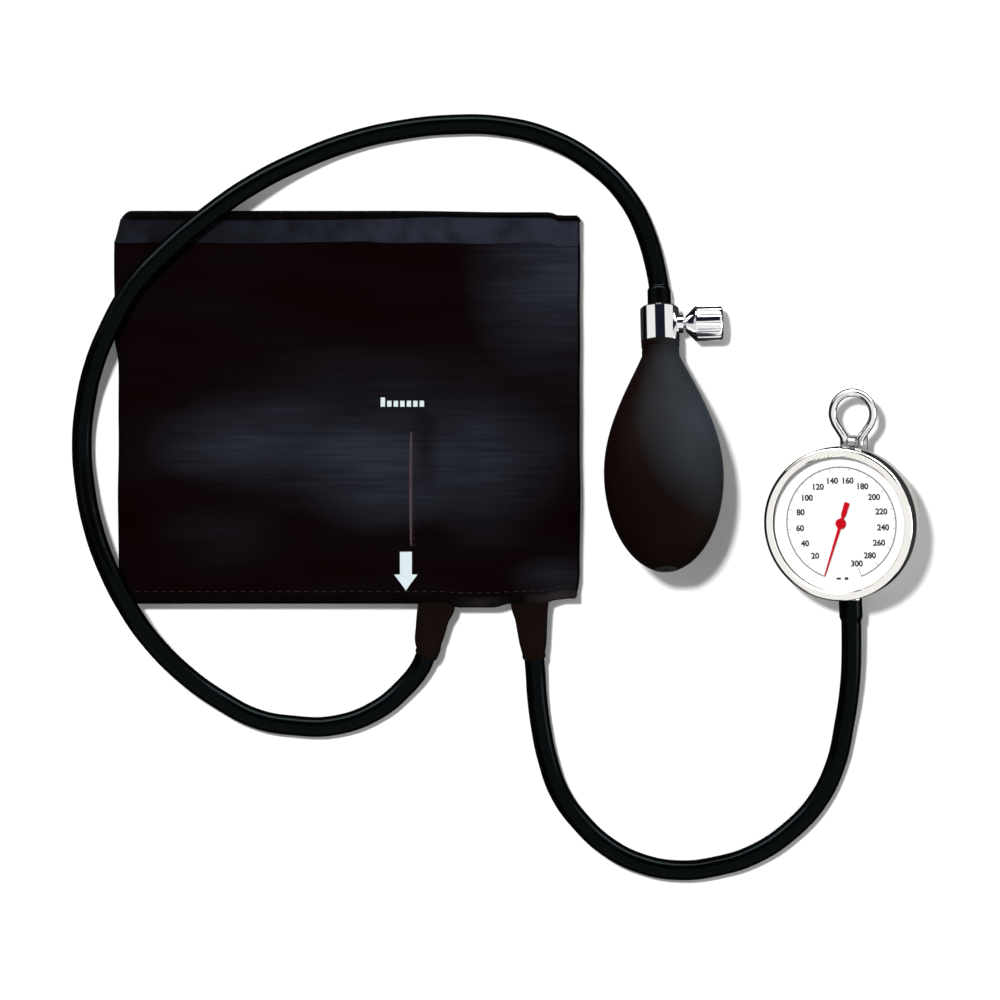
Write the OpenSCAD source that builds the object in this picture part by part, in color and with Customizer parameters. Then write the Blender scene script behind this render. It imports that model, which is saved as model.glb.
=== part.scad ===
// Aneroid sphygmomanometer laid out on a table: an arm cuff folded in three, two
// rubber hoses, a hand bulb with its release valve, and a round dial gauge.
// Millimetres. The origin is the centre of the cuff's underside, +Z is up, and
// +Y points from the hose edge of the cuff to the edge with the binding tape.

/* [Cuff] */
// Width of the folded cuff, along X
cuff_w = 172; // [150:1:200]
// Height of the cuff across the arm's length, along Y
cuff_h = 145; // [130:1:160]
// Thickness of the cover cloth and of the lining
cloth_t = 0.5; // [0.3:0.1:0.8]
// Width of the binding tape along the top edge
top_binding_w = 11; // [8:1:16]
// Width of the seam along the bottom edge
bottom_binding_w = 3; // [2:0.5:6]
// Clear height between two folded layers, filled by the hook and loop panels
fold_gap = 1.0; // [0.8:0.1:2]
// Thickness of the hook panel and of the loop panel
panel_t = 0.9; // [0.5:0.1:0.9]
// Length of the hook panel
hook_panel_w = 50; // [30:1:80]
// Length of the loop panel
loop_panel_w = 110; // [60:1:140]

/* [Bladder] */
// Cloth left between the bladder and each long seam
bladder_margin = 3; // [2:0.5:10]
// Thickness of the empty bladder
bladder_t = 1.8; // [1.4:0.1:2.4]
// Thickness of one bladder wall
bladder_wall = 0.7; // [0.4:0.05:0.8]
// Length of the bladder in the top layer
bladder_top_w = 158; // [120:1:160]
// Length of the bladder in the middle layer
bladder_mid_w = 68; // [40:1:100]
// Distance from the bladder's end to the middle of the gauge's neck
neck_from_end = 8; // [7:0.5:20]
// Distance between the middles of the two necks
neck_spacing = 34.5; // [25:0.5:45]
// Width of a flat neck where it leaves the cuff
neck_root_w = 13.6; // [10:0.2:16]
// Diameter of a neck at its hose end
neck_end_d = 9.2; // [8.6:0.1:11]
// Bore through a neck
neck_bore_d = 4.0; // [3:0.1:5]

/* [Hoses] */
// Outer diameter of both hoses
hose_d = 7.4; // [6.6:0.1:7.6]
// Outer diameter where a hose is stretched over a barb
hose_stretched_d = 8.6; // [8:0.1:9.2]

/* [Bulb] */
// Length of the bulb from its mouth to its tail
bulb_len = 87; // [80:1:95]
// Diameter of the bulb's belly
bulb_d = 44; // [40:0.5:48]
// Distance from the mouth to the belly
bulb_belly_at = 50.5; // [46:0.5:54]
// Diameter of the bulb's neck
bulb_neck_d = 13.9; // [13:0.1:15]
// Length of the straight part of the bulb's neck
bulb_neck_len = 5.4; // [4:0.2:8]
// Wall thickness of the bulb
bulb_wall = 2.3; // [1.5:0.1:3]
// Downward pitch of the bulb towards the hose
bulb_pitch = 14.7; // [10:0.1:18]
// Turn of the bulb about the vertical
bulb_yaw = 1.2; // [0:0.1:4]

/* [Valve] */
// Diameter of the valve body
valve_d = 14.3; // [13.5:0.1:16]
// Length of the valve body
valve_len = 13.2; // [12:0.1:16]
// Width of the chamfer at the hose end of the valve body
valve_chamfer = 0.6; // [0.2:0.1:1.5]
// Diameter of the air passage through the valve
air_d = 3; // [2:0.1:3.4]
// Length of the spigot inside the bulb's neck
spigot_len = 11; // [9:0.5:14]
// Length of the hose barb on the valve
valve_barb_len = 9; // [7:0.5:12]
// Diameter of the release stem
stem_d = 3; // [2.4:0.1:3.4]
// Diameter of the release knob
knob_d = 13; // [11:0.1:14]
// Length of the release knob's grip
knob_len = 10.5; // [8:0.5:13]
// Number of flutes round the release knob
knob_flutes = 14; // [8:1:20]
// Thread pitch of the release screw
screw_pitch = 0.8; // [0.5:0.1:1.2]
// Travel of the two check valves
check_lift = 0.5; // [0.3:0.1:0.6]

/* [Gauge] */
// Outer diameter of the gauge case
case_d = 54; // [52:0.5:58]
// Depth of the gauge from its back to the front of its bezel
gauge_depth = 21; // [21:0.5:24]
// Wall thickness of the gauge case
case_wall = 0.8; // [0.6:0.1:1]
// Radius of the rounded rear edge of the case
case_corner_r = 6; // [4:0.5:6.5]
// Outer diameter of the bezel
bezel_d = 56.6; // [56:0.1:62]
// Width of the bezel's front ring
bezel_ring_w = 3.2; // [2.4:0.1:3.4]
// Thickness of the crystal
crystal_t = 1.5; // [1:0.1:1.6]
// Lean of the gauge, which lies on its left rear edge
gauge_tilt = 18.5; // [10:0.5:25]
// Turn of the dial about the gauge's own axis
gauge_roll = 1.5; // [-5:0.5:5]
// Thickness of the dial
dial_t = 0.5; // [0.3:0.1:0.6]
// Radius of the printed scale
scale_r = 21; // [19:0.5:22]
// Sweep of the pointer from 0 to 300
pointer_sweep = 321; // [270:1:325]
// Length of the pointer from its centre to its tip
pointer_len = 20.4; // [18:0.2:21]
// Length of the pointer's tail
pointer_tail = 8.2; // [6:0.2:10]

/* [Movement] */
// Teeth on the pinion
pinion_teeth = 12; // [10:1:14]
// Gear module of the pinion and the sector
gear_module = 0.2; // [0.18:0.01:0.21]
// Teeth that a full sector wheel would have
sector_teeth = 120; // [110:1:126]
// Diameter of the capsule
capsule_d = 31; // [26:0.5:32]
// Rise of the capsule at full pressure
capsule_rise = 1.25; // [1:0.05:1.3]
// Diameter of a pivot at the end of an arbor
pivot_d = 1.0; // [0.6:0.1:1.2]

/* [Hanger] */
// Diameter of the hanger wire
wire_d = 3.0; // [2.6:0.1:3.2]
// Diameter of the hole in the hanger loop
loop_hole_d = 12.4; // [11:0.1:14]
// Width of the hanger plate
hanger_plate_w = 10.5; // [9:0.5:13]

/* [Hidden] */
$fn = 64;

fit_gap = 0.05;          // radial clearance between pieces that turn or seat in each other
skin = 0.05;             // air between two soft layers, and the height of printed ink
cut = 1;                 // how far a cutting tool runs past the face it cuts
end_gap = 0.1;           // air at each end of an arbor

// Cuff: three layers of cover, bladder and lining, folded like a letter Z.
layer_t = bladder_t + 2*(skin + cloth_t);
layer_pitch = layer_t + fold_gap;
fold_r = layer_pitch/2;
sheet_in = bladder_t/2 + skin;
sheet_out = layer_t/2;
fold_x = cuff_w/2 - fold_r - sheet_out;
layer_z = [for (i = [0:2]) sheet_out + i*layer_pitch];
cuff_top = layer_z[2] + sheet_out;
free_end_inset = 1;      // how far the free ends stop short of the folds
fold_steps = 12;         // straight steps round one fold
cloth_y0 = -cuff_h/2 + bottom_binding_w;
cloth_y1 = cuff_h/2 - top_binding_w;
seam_wall = 1;           // depth of a binding where it closes the edge
bladder_y0 = cloth_y0 + bladder_margin;
bladder_y1 = cloth_y1 - bladder_margin;
bladder_end_x = -fold_x + bladder_top_w;
panel_margin = 14;       // cloth left bare above and below the hook and loop panels
panel_h = cuff_h - 2*panel_margin;
hook_panel_inset = 8;    // distance from the hook panel to the left fold

// Necks: each runs from the bladder's lower edge to the end of its hose.
neck_slot_gap = 0.1;
neck_flat_len = 1;       // flat neck outside the seam
neck_round_len = 3;      // round neck at the hose
neck_steps = [0, 0.3, 0.6, 1];
neck_shape = 0.75;
neck_sides = 16;
gauge_root_x = bladder_end_x - neck_from_end;
inflation_root_x = gauge_root_x - neck_spacing;
inflation_neck_end = [29, -91.5, 7];
gauge_neck_end = [69, -92.5, 7];

// Arrow printed over the artery mark.
arrow_from_neck = 11.5;  // distance from the inflation neck's middle
arrow_from_edge = 5;     // distance from the cuff's lower edge
arrow_tip = [inflation_root_x - arrow_from_neck, -cuff_h/2 + arrow_from_edge];
arrow_head = [8.6, 5.8];
arrow_shaft = [4.4, 8.4];

// Hose routes, between the necks and the barbs. Each lies on the table, and the
// bulb's hose passes twice over the left edge of the cuff.
bulb_route = [
    [27, -96, 5.6], [21.5, -103, 4.2], [10.5, -112, 3.9], [-5, -117.5, 3.9],
    [-20, -117.5, 3.9], [-33.5, -115, 3.9], [-47, -108, 4.4], [-60, -98.5, 7],
    [-73, -85, 11.8], [-80.5, -74, 14.6], [-88, -59.5, 14.6], [-93.5, -44.5, 11.6],
    [-97, -27.5, 7.4], [-98, -12, 6], [-96.5, 2, 8], [-93.5, 14.5, 11.8],
    [-88.5, 27, 14.6], [-79, 44, 14.6], [-66, 58, 14.6], [-50.5, 71, 15],
    [-34, 82.5, 11.9], [-16.5, 91.5, 7], [2, 98.5, 4.4], [19.5, 102.5, 3.9],
    [38, 104.5, 3.9], [56.5, 104, 3.9], [74.5, 99.5, 3.9], [90.5, 90.5, 3.9],
    [103, 78, 3.9], [110.5, 63.5, 3.9]
];
gauge_route = [
    [69.5, -98, 5.4], [70, -106, 4.2], [71.5, -118, 3.9], [74, -130, 3.9],
    [78.5, -142.5, 3.9], [86, -153, 3.9], [96.5, -162.5, 3.9], [108.5, -168.5, 3.9],
    [122.5, -171, 3.9], [136.5, -169.5, 3.9], [150.5, -165, 3.9], [164, -156, 3.9],
    [174, -145, 3.9], [180.5, -131.5, 4], [183.5, -117.5, 5.2], [185.5, -103, 7.2],
    [186, -93, 8.6]
];
hose_sides = 10;
collar_len = 6.5;        // length of hose that a barb stretches
collar_taper = 1.5;      // length over which the hose widens to its collar

// Valve and bulb. Their own frame has +Z along the axis towards the hose, and its
// origin at the bulb's mouth. The valve's lower rim rests on the table.
bulb_mouth_xy = [115.5, 24];
bulb_mouth_z = valve_d/2*cos(bulb_pitch) + valve_len*sin(bulb_pitch);
valve_axis = [
    -sin(bulb_yaw)*cos(bulb_pitch), cos(bulb_yaw)*cos(bulb_pitch), -sin(bulb_pitch)
];
bulb_mouth = [bulb_mouth_xy[0], bulb_mouth_xy[1], bulb_mouth_z];
valve_face = bulb_mouth + valve_len*valve_axis;
spigot_r = bulb_neck_d/2 - bulb_wall;
disc_chamber_r = 3;
disc_r = 2.6;
disc_t = 1;
disc_stop = -5;          // where the outlet disc's chamber ends
disc_top = disc_stop - fit_gap;
seat_top = disc_top - disc_t - check_lift - fit_gap;
slot_w = 1.2;            // air slots past the outlet disc
seat_bore_r = 1.2;
barb_r = 2.9;
barb_core_r = 2.4;
barb_ring_z = [1, 3.6];
barb_ring_len = 2.2;
release_z = 6.8;         // height of the release screw on the valve body
vent_hole_r = 0.8;
bleed_hole_r = 0.5;      // lets the air out of the plug's chamber
plug_face_x = 1.9;
bleed_hole_x = plug_face_x + 1;
plug_r = 1.3;
plug_len = 1.3;
plug_pin_len = screw_pitch - 0.1;  // the pin leaves its hole within one turn
chamber_r = 1.6;
seal_x = 3.9;
seal_end_x = 5.3;
seal_bore_r = 2.75;
seal_sides = 24;
gland_seat_x = 6.3;
gland_r = 3.3;
gland_end_x = 8.6;
cone_x = 9.6;
cone_r = 2.9;
grip_x = 12.8;
stem_in_grip = 6;        // length of the stem inside the knob's grip
stem_end_x = grip_x + stem_in_grip;
knob_chamfer = 0.4;
knob_edge_r = 1.6;
flute_r = 0.9;
flute_depth = 0.35;
flute_x = grip_x + 1;    // where the flutes start

// Bulb outline, and the intake valve in its tail.
bulb_r = bulb_d/2;
bulb_shape = 1.06;       // how slowly the shoulder of the bulb fills out
outline_steps = 12;
tail_flat_cut = 0.6;     // length that the flat end takes off the round tail
tail_wall = 5.2;         // rubber round the intake valve, measured along the axis
intake_r = 3.95;
intake_len = 7;
intake_recess = 0.5;
intake_out = -bulb_len + intake_recess;
intake_hole_r = 1.2;
intake_chamber_r = 2.2;
intake_ball_r = 1.8;
cage_t = 1.2;
cage_r = 2.95;
cage_hole_at = 1.6;
cage_hole_r = 0.6;
cage_face = intake_out + intake_len - cage_t;
ball_z = cage_face - intake_ball_r - fit_gap;
seat_drop = 1.45;        // from the seated ball's centre down to its seat's bore
seat_cone_z = ball_z - check_lift - seat_drop;
seat_cone_len = 0.8;

// Gauge. Its own frame has +Z out of the dial and its origin at the centre of the
// case's back; the case rests on its left rear edge.
gauge_back_xy = [186.5, -41.2];
tilt_axis = [0.32, -0.95, 0];
case_r = case_d/2;
back_flat_r = case_r - case_corner_r;
gauge_back_z = case_corner_r + back_flat_r*sin(gauge_tilt) - case_corner_r*cos(gauge_tilt);
gauge_back = [gauge_back_xy[0], gauge_back_xy[1], gauge_back_z];
bezel_r = bezel_d/2;
case_in_r = case_r - case_wall;
bezel_lip = 1.5;
crystal_z = gauge_depth - bezel_lip - crystal_t;
gasket_t = 0.5;
case_top = crystal_z - gasket_t;
bezel_skirt = 3;
bezel_in_r = bezel_r - bezel_ring_w;
crystal_inset = 0.9;     // from the case's outer face to the crystal's edge
crystal_r = case_r - crystal_inset;
gasket_w = 1.3;
bezel_edge_r = 1.2;
bezel_chamfer = 0.4;     // inner edge of the bezel's front ring
edge_steps = 6;          // straight steps round a small rounded edge
corner_steps = 10;       // straight steps round the case's rear edge

// Movement heights above the back of the case.
base_z = case_wall;
base_t = 2.4;
base_top = base_z + base_t;
frame_r = 19.5;
plate_t = 0.8;
capsule_r = capsule_d/2;
capsule_t = 3;
shell_t = 0.3;
wave_h = 0.16;           // corrugations of the shells
wave_len = 3;
wave_step = 0.75;        // straight steps along the waves
wave_r = [2, capsule_r - 1.5];  // where the waves start and end
shell_rim_w = 1;
shell_hub_r = 1.6;       // flat middle of each shell
shell_plug_r = 0.7;      // closes the upper shell's hole
capsule_mid = base_top + capsule_t/2;
capsule_top = base_top + capsule_t;
post_r = 1.8;
post_base_h = 0.5;
post_tip_r = 0.3;
post_h = 1.1;
post_top = capsule_top + post_h;
dial_z = 15.2;
dial_edge_gap = 0.6;
dial_hole_gap = 0.3;
upper_plate_z = dial_z - plate_t;
lower_plate_z = 10.2;
lower_plate_top = lower_plate_z + plate_t;
pillar_r = 1.4;
pillar_at = 17.6;
pillar_angles = [90, 210, 330];
screw_r = 0.6;
screw_head_r = 1.1;
screw_cone_h = 0.5;
screw_cone_z = dial_z - screw_cone_h;
screw_depth = 2;
scale_line_w = 0.5;
scale_steps = 90;        // straight steps round the printed arc
tick_count = 30;         // one tick for each 10 of the scale
tick_len = [1.6, 1];     // at the even and at the odd tens
tick_w = 0.2;
dial_foot_x = 11.7;
dial_foot_r = 0.8;
pointer_lift = 0.8;      // air between the dial and the pointer
pointer_z = dial_z + dial_t + pointer_lift;
pointer_t = 0.3;
pointer_w = 1.2;         // at the hub
pointer_tip_w = 0.4;
pointer_tail_w = 1.9;
pointer_tail_x = 3.6;    // where the wide part of the tail starts
pointer_waist_w = 0.8;   // between the hub and that part
pointer_hub_r = 1.9;
pointer_hub_z = [-0.4, 0.6];     // the hub's faces, from the pointer's back
pointer_bore = 0.2;      // depth of the hub's bore above the pointer's back

// Gears: the sector's 0.2 module teeth drive the pinion at the centre.
pinion_r = pinion_teeth*gear_module/2;
sector_r = sector_teeth*gear_module/2;
gear_centres = pinion_r + sector_r;
tooth_h = 0.8*gear_module;
tooth_root = 1.25*gear_module;
gear_backlash = 0.05;
tooth_sunk = 0.1;        // how far a tooth runs into its wheel
tooth_foot = 0.75;       // half width of a tooth's foot, as a share of its thickness
tooth_tip = 0.22;        // half width of its tip
gear_z = 11.9;
gear_t = 0.6;
pinion_t = 1.2;
pinion_z = gear_z - 0.3; // the pinion is thicker than the sector on both sides
arbor_rise = 0.2;        // how far the arbor's shoulder stands above the dial
sector_sweep = pointer_sweep*pinion_teeth/sector_teeth;
sector_spare_teeth = 3;
sector_hub_r = 1.7;
sector_waist_x = 1;      // where the sector's two sides would meet
sector_y = 5.75;
sector_x = sqrt(gear_centres*gear_centres - sector_y*sector_y);
sector_dir = 180 + atan2(sector_y, sector_x);
arbor_r = 0.9;
tail_r = 2;              // distance from the sector's arbor to its driving pin
pin_r = 0.3;
pin_h = 0.7;             // length of the pin below the sector
tail_w = 1.2;

// Rocking shaft: one arm lies over the capsule's post, the other pushes the pin.
rocker_y = 5;
rocker_z = 7.6;
rocker_r = 0.65;
rocker_x0 = -3;
rocker_x1 = 16.8;
bracket_w = 1.5;
bracket_d = 3;
bracket_below = 1.2;     // bracket below the shaft's axis
lift_arm_w = 1.6;
lift_arm_past = 1;       // how far the lift arm runs past the post
lift_arm_t = 0.6;
push_arm_t = 0.6;
push_arm_w = 1.6;
post_gap = 0.15;         // air between the post and the arm over it
rocker_sweep = atan(capsule_rise/rocker_y);
push_x = sector_x + tail_r;
push_window = [3.4, 5.4];

// Hairspring between the pinion and the upper plate.
spring_z = 13.5;
spring_h = 0.4;
spring_strip = 0.12;
spring_turns = 4;
spring_steps = 24;       // straight steps in each turn
spring_r0 = 1.1;
spring_r1 = 4.2;

// Inlet at the bottom of the gauge.
inlet_z = 7;
block_w = 8;
block_y0 = -25;
block_y1 = -18;
block_z0 = 3.5;          // clears the case's rounded rear edge
block_gap = 0.4;         // air between the block and the plate above it
block_top = lower_plate_z - block_gap;
block_foot_y = -20.5;
stem_in_block = 4;
stem_short = 0.2;        // how far the stem stops short of its hole's end
way_r = 0.6;             // radius of the air way
way_y = -19.2;
way_z = base_z + base_t/2;
stem_r = 2.2;
stem_bore_r = 0.9;
inlet_flange_r = 4.4;
inlet_flange_t = 1.2;
washer_t = 0.8;
inlet_flange_y = case_r + washer_t;
inlet_face_y = inlet_flange_y + inlet_flange_t;
inlet_barb_len = 9;
inlet_face = gauge_point([0, -inlet_face_y, inlet_z]);
inlet_lead = gauge_point([0, -inlet_face_y - inlet_barb_len, inlet_z]);

// Hanger at the back of the gauge.
hanger_turn = -3;
hanger_t = 1;
hanger_y0 = 11;
hanger_y1 = 31;
rivet_at = [13.5, 18];
rivet_r = 1.4;
rivet_head_r = 2.1;
rivet_head_h = 0.7;
hinge_y = 28.6;
hinge_z = 1.7;
wire_r = wire_d/2;
foot_r = 0.6;
foot_cover = 0.7;        // how far a limb runs past its foot
foot_apart = 0.2;        // from the middle of the barrel to the end of a foot
barrel_r = 1.9;
barrel_w = 2.6;
limb_x = 2.9;
limb_bends = [[0.2, 1.2], [1.8, 3.9]];   // bends of a limb, from its foot
loop_r = loop_hole_d/2 + wire_r;
loop_y = 39.3;
loop_open = 60;          // half the angle of the ring's open bottom
loop_steps = 24;
wire_sides = 14;

// ---- Frames and shared shapes ----

// A turn about a unit axis through the origin, as a point function.
function turned(p, axis, angle) =
    let (k = axis/norm(axis))
    p*cos(angle) + cross(k, p)*sin(angle) + k*(k*p)*(1 - cos(angle));

// A point of the gauge's own frame, in the part's frame.
function gauge_point(p) = gauge_back + turned(turned(p, [0, 0, 1], gauge_roll), tilt_axis, gauge_tilt);

module on_gauge() {
    translate(gauge_back) rotate(a = gauge_tilt, v = tilt_axis) rotate([0, 0, gauge_roll]) children();
}

module on_bulb() {
    translate(bulb_mouth) rotate([0, 0, bulb_yaw]) rotate([-90 - bulb_pitch, 0, 0]) children();
}

module on_hanger() {
    on_gauge() rotate([0, 0, hanger_turn]) children();
}

// A round bar between two heights on the Z axis.
module bar(r, z0, z1, r_end = undef) {
    translate([0, 0, z0]) cylinder(r1 = r, r2 = is_undef(r_end) ? r : r_end, h = z1 - z0);
}

// A bar along X between two places.
module bar_x(r, x0, x1) {
    translate([x0, 0, 0]) rotate([0, 90, 0]) cylinder(r = r, h = x1 - x0);
}

module ring(r_in, r_out, z0, z1) {
    difference() {
        bar(r_out, z0, z1);
        bar(r_in, z0 - cut, z1 + cut);
    }
}

function reversed(list) = [for (i = [len(list) - 1:-1:0]) list[i]];

// Points round an arc in a plane.
function arc(centre, r, a0, a1, steps) =
    [for (i = [0:steps]) let (a = a0 + (a1 - a0)*i/steps) centre + r*[cos(a), sin(a)]];

// ---- Cuff ----

// The folded line at one distance from the middle of the cuff's layers, seen along Y.
function fold_line(off) = concat(
    [[-fold_x - fold_r, layer_z[0] + off]],
    arc([fold_x, layer_z[0] + fold_r], fold_r - off, -90, 90, fold_steps),
    arc([-fold_x, layer_z[1] + fold_r], fold_r + off, 270, 90, fold_steps),
    [[cuff_w/2 - free_end_inset, layer_z[2] + off]]
);

// The part of that line that the bladder follows: the middle and top layers.
function bladder_line(off, inset = 0) = concat(
    [[-fold_x + bladder_mid_w - inset, layer_z[1] - off]],
    arc([-fold_x, layer_z[1] + fold_r], fold_r + off, 270, 90, fold_steps),
    [[bladder_end_x - inset, layer_z[2] + off]]
);

// Stands a shape drawn in X and Z between two places along Y.
module stand(y0, y1) {
    translate([0, y1, 0]) rotate([90, 0, 0]) linear_extrude(y1 - y0) children();
}

module folded_band(lo, hi, y0, y1) {
    stand(y0, y1) polygon(concat(fold_line(hi), reversed(fold_line(lo))));
}

module cuff_cover() {
    color("#15121a") folded_band(sheet_in, sheet_out, cloth_y0, cloth_y1);
}

module cuff_lining() {
    color("#1b181d") folded_band(-sheet_out, -sheet_in, cloth_y0, cloth_y1);
}

// A binding closes one edge of all three layers; its legs butt against the cloth.
module binding(edge_y, cloth_y) {
    inner = edge_y > 0 ? edge_y - seam_wall : edge_y + seam_wall;
    difference() {
        folded_band(-sheet_out, sheet_out, min(edge_y, cloth_y), max(edge_y, cloth_y));
        folded_band(-sheet_in, sheet_in, min(inner, cloth_y) - (edge_y > 0 ? cut : 0),
                    max(inner, cloth_y) + (edge_y > 0 ? 0 : cut));
    }
}

module top_binding() {
    color("#272b38") binding(cuff_h/2, cloth_y1);
}

module bottom_binding() {
    slot = [neck_root_w + 2*neck_slot_gap, 2*seam_wall + cut, bladder_t + 2*skin];
    color("#15121a") difference() {
        binding(-cuff_h/2, cloth_y0);
        for (x = [inflation_root_x, gauge_root_x])
            translate([x - slot[0]/2, -cuff_h/2 - cut, layer_z[2] - slot[2]/2]) cube(slot);
    }
}

module hook_panel() {
    color("#222226") translate([-cuff_w/2 + hook_panel_inset, -panel_h/2, layer_z[0] + sheet_out])
        cube([hook_panel_w, panel_h, panel_t]);
}

module loop_panel() {
    color("#222226") translate([-loop_panel_w/2, -panel_h/2, layer_z[1] + sheet_out])
        cube([loop_panel_w, panel_h, panel_t]);
}

module bladder() {
    half = bladder_t/2;
    half_air = half - bladder_wall;
    color("#4a2b24") difference() {
        stand(bladder_y0, bladder_y1)
            polygon(concat(bladder_line(half), reversed(bladder_line(-half))));
        stand(bladder_y0 + bladder_wall, bladder_y1 - bladder_wall) polygon(concat(
            bladder_line(half_air, bladder_wall), reversed(bladder_line(-half_air, bladder_wall))));
        for (x = [inflation_root_x, gauge_root_x])
            translate([x - neck_bore_d/2, bladder_y0 - cut, layer_z[2] - half_air])
                cube([neck_bore_d, 2*cut, 2*half_air]);
    }
}

// Places its children at one point with their Z axis towards another.
module aim(from, to) {
    d = (to - from)/norm(to - from);
    translate(from) rotate([0, acos(d[2]), atan2(d[1], d[0])]) children();
}

// A rubber neck that is flat in the cuff's seam and round at its hose.
module neck(root_x, end, lead) {
    d = (lead - end)/norm(lead - end);
    flat = [neck_root_w/2, bladder_t/2];
    round = [neck_end_d/2, neck_end_d/2];
    root = [root_x, -cuff_h/2 - neck_flat_len, layer_z[2]];
    round_from = end - neck_round_len*d;
    line = concat([[root_x, bladder_y0, layer_z[2]]],
        [for (u = neck_steps) root + (round_from - root)*u], [end]);
    radii = concat([flat], [for (u = neck_steps) flat + (round - flat)*pow(u, neck_shape)], [round]);
    color("#211512") difference() {
        swept_tube(line, radii, neck_sides);
        aim(end, round_from) translate([0, 0, -cut]) cylinder(d = neck_bore_d, h = 2*neck_round_len);
    }
}

module inflation_neck() {
    neck(inflation_root_x, inflation_neck_end, bulb_route[0]);
}

module gauge_neck() {
    neck(gauge_root_x, gauge_neck_end, gauge_route[0]);
}

module artery_arrow() {
    color("white") translate([arrow_tip[0], arrow_tip[1], cuff_top]) linear_extrude(skin) polygon([
        [0, 0], [arrow_head[0]/2, arrow_head[1]], [arrow_shaft[0]/2, arrow_head[1]],
        [arrow_shaft[0]/2, arrow_head[1] + arrow_shaft[1]],
        [-arrow_shaft[0]/2, arrow_head[1] + arrow_shaft[1]],
        [-arrow_shaft[0]/2, arrow_head[1]], [-arrow_head[0]/2, arrow_head[1]]
    ]);
}

// ---- Hoses ----

// Direction of a route at one of its points.
function heading(route, i) =
    let (a = route[max(i - 1, 0)], b = route[min(i + 1, len(route) - 1)]) (b - a)/norm(b - a);

// One ring of points round a route, level across it; r is its half width and half height.
function tube_ring(route, i, r, sides) =
    let (t = heading(route, i), side = cross(t, [0, 0, 1])/norm(cross(t, [0, 0, 1])), up = cross(side, t))
    [for (k = [0:sides - 1]) let (a = 360*k/sides) route[i] + r[0]*cos(a)*side + r[1]*sin(a)*up];

// A tube swept along a route, with its own radius at each point.
module swept_tube(route, radii, sides) {
    n = len(route);
    points = [for (i = [0:n - 1]) each tube_ring(route, i, radii[i], sides)];
    walls = [for (i = [0:n - 2]) for (k = [0:sides - 1])
        let (k1 = (k + 1) % sides, a = i*sides, b = a + sides)
        each [[a + k, b + k1, b + k], [a + k, a + k1, b + k1]]];
    start_cap = [for (k = [sides - 1:-1:0]) k];
    end_cap = [for (k = [0:sides - 1]) (n - 1)*sides + k];
    polyhedron(points, concat([start_cap], walls, [end_cap]));
}

// A hose ends in a stretched collar over the barb that it is pushed on.
module hose(start, route, collar_start, face) {
    full = concat([start], route, [collar_start + collar_taper*(collar_start - face)/collar_len,
                                   collar_start, face]);
    radii = [for (i = [0:len(full) - 1])
        (i < len(full) - 2 ? hose_d/2 : hose_stretched_d/2)*[1, 1]];
    color("#101012") swept_tube(full, radii, hose_sides);
}

module bulb_hose() {
    hose(inflation_neck_end, bulb_route, valve_face + collar_len*valve_axis, valve_face);
}

module gauge_hose() {
    out = (inlet_lead - inlet_face)/norm(inlet_lead - inlet_face);
    hose(gauge_neck_end, gauge_route, inlet_face + collar_len*out, inlet_face);
}

// ---- Bulb ----

// Radius of the bulb at a distance from its mouth: a straight neck, a shoulder that
// fills out as a sine, and an elliptical tail.
function bulb_radius(t) =
    t <= bulb_neck_len ? bulb_neck_d/2 :
    t <= bulb_belly_at ? bulb_neck_d/2 + (bulb_r - bulb_neck_d/2)
        *pow(sin(90*(t - bulb_neck_len)/(bulb_belly_at - bulb_neck_len)), bulb_shape) :
    bulb_r*sqrt(1 - pow((t - bulb_belly_at)/(bulb_len - bulb_belly_at), 2));

// Outline from the mouth to the tail, drawn in by the wall's thickness.
function bulb_outline(inset, t_end) = [
    for (i = [0:2*outline_steps]) let (
        u = i/outline_steps,
        t = u < 1 ? bulb_neck_len + (bulb_belly_at - bulb_neck_len)*u
                  : bulb_belly_at + (t_end - bulb_belly_at)*sin(90*(u - 1))
    ) [bulb_radius(t) - inset, -t]
];

module squeeze_bulb() {
    tail_flat = bulb_len - tail_flat_cut;
    inner_end = bulb_len - tail_wall;
    color("#17171a") on_bulb() difference() {
        rotate_extrude() polygon(concat(
            [[0, 0], [bulb_neck_d/2, 0]], bulb_outline(0, tail_flat), [[0, -tail_flat]]));
        rotate_extrude() polygon(concat(
            [[0, cut], [spigot_r, cut]], bulb_outline(bulb_wall, inner_end), [[0, -inner_end]]));
        bar(intake_r + fit_gap, -bulb_len - cut, -inner_end + cut);
    }
}

module intake_valve_body() {
    color("#2a2a2c") on_bulb() difference() {
        bar(intake_r, intake_out, intake_out + intake_len);
        bar(intake_hole_r, intake_out - cut, ball_z);
        bar(intake_hole_r, seat_cone_z, seat_cone_z + seat_cone_len, intake_chamber_r);
        bar(intake_chamber_r, seat_cone_z + seat_cone_len, cage_face + fit_gap);
        bar(cage_r + fit_gap, cage_face, intake_out + intake_len + cut);
    }
}

module intake_ball() {
    color("silver") on_bulb() translate([0, 0, ball_z]) sphere(r = intake_ball_r);
}

module intake_cage() {
    color("#b8a15a") on_bulb() difference() {
        bar(cage_r, cage_face, cage_face + cage_t);
        for (a = [0:120:240]) rotate([0, 0, a]) translate([cage_hole_at, 0, 0])
            bar(cage_hole_r, cage_face - cut, cage_face + cage_t + cut);
    }
}

// ---- Valve ----

// A barb that starts at a height on the Z axis; its rings grip the inside of a hose.
module hose_barb(z, length) {
    bar(barb_core_r, z, z + length);
    for (ring_z = barb_ring_z) bar(barb_r, z + ring_z, z + ring_z + barb_ring_len, barb_core_r);
}

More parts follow.
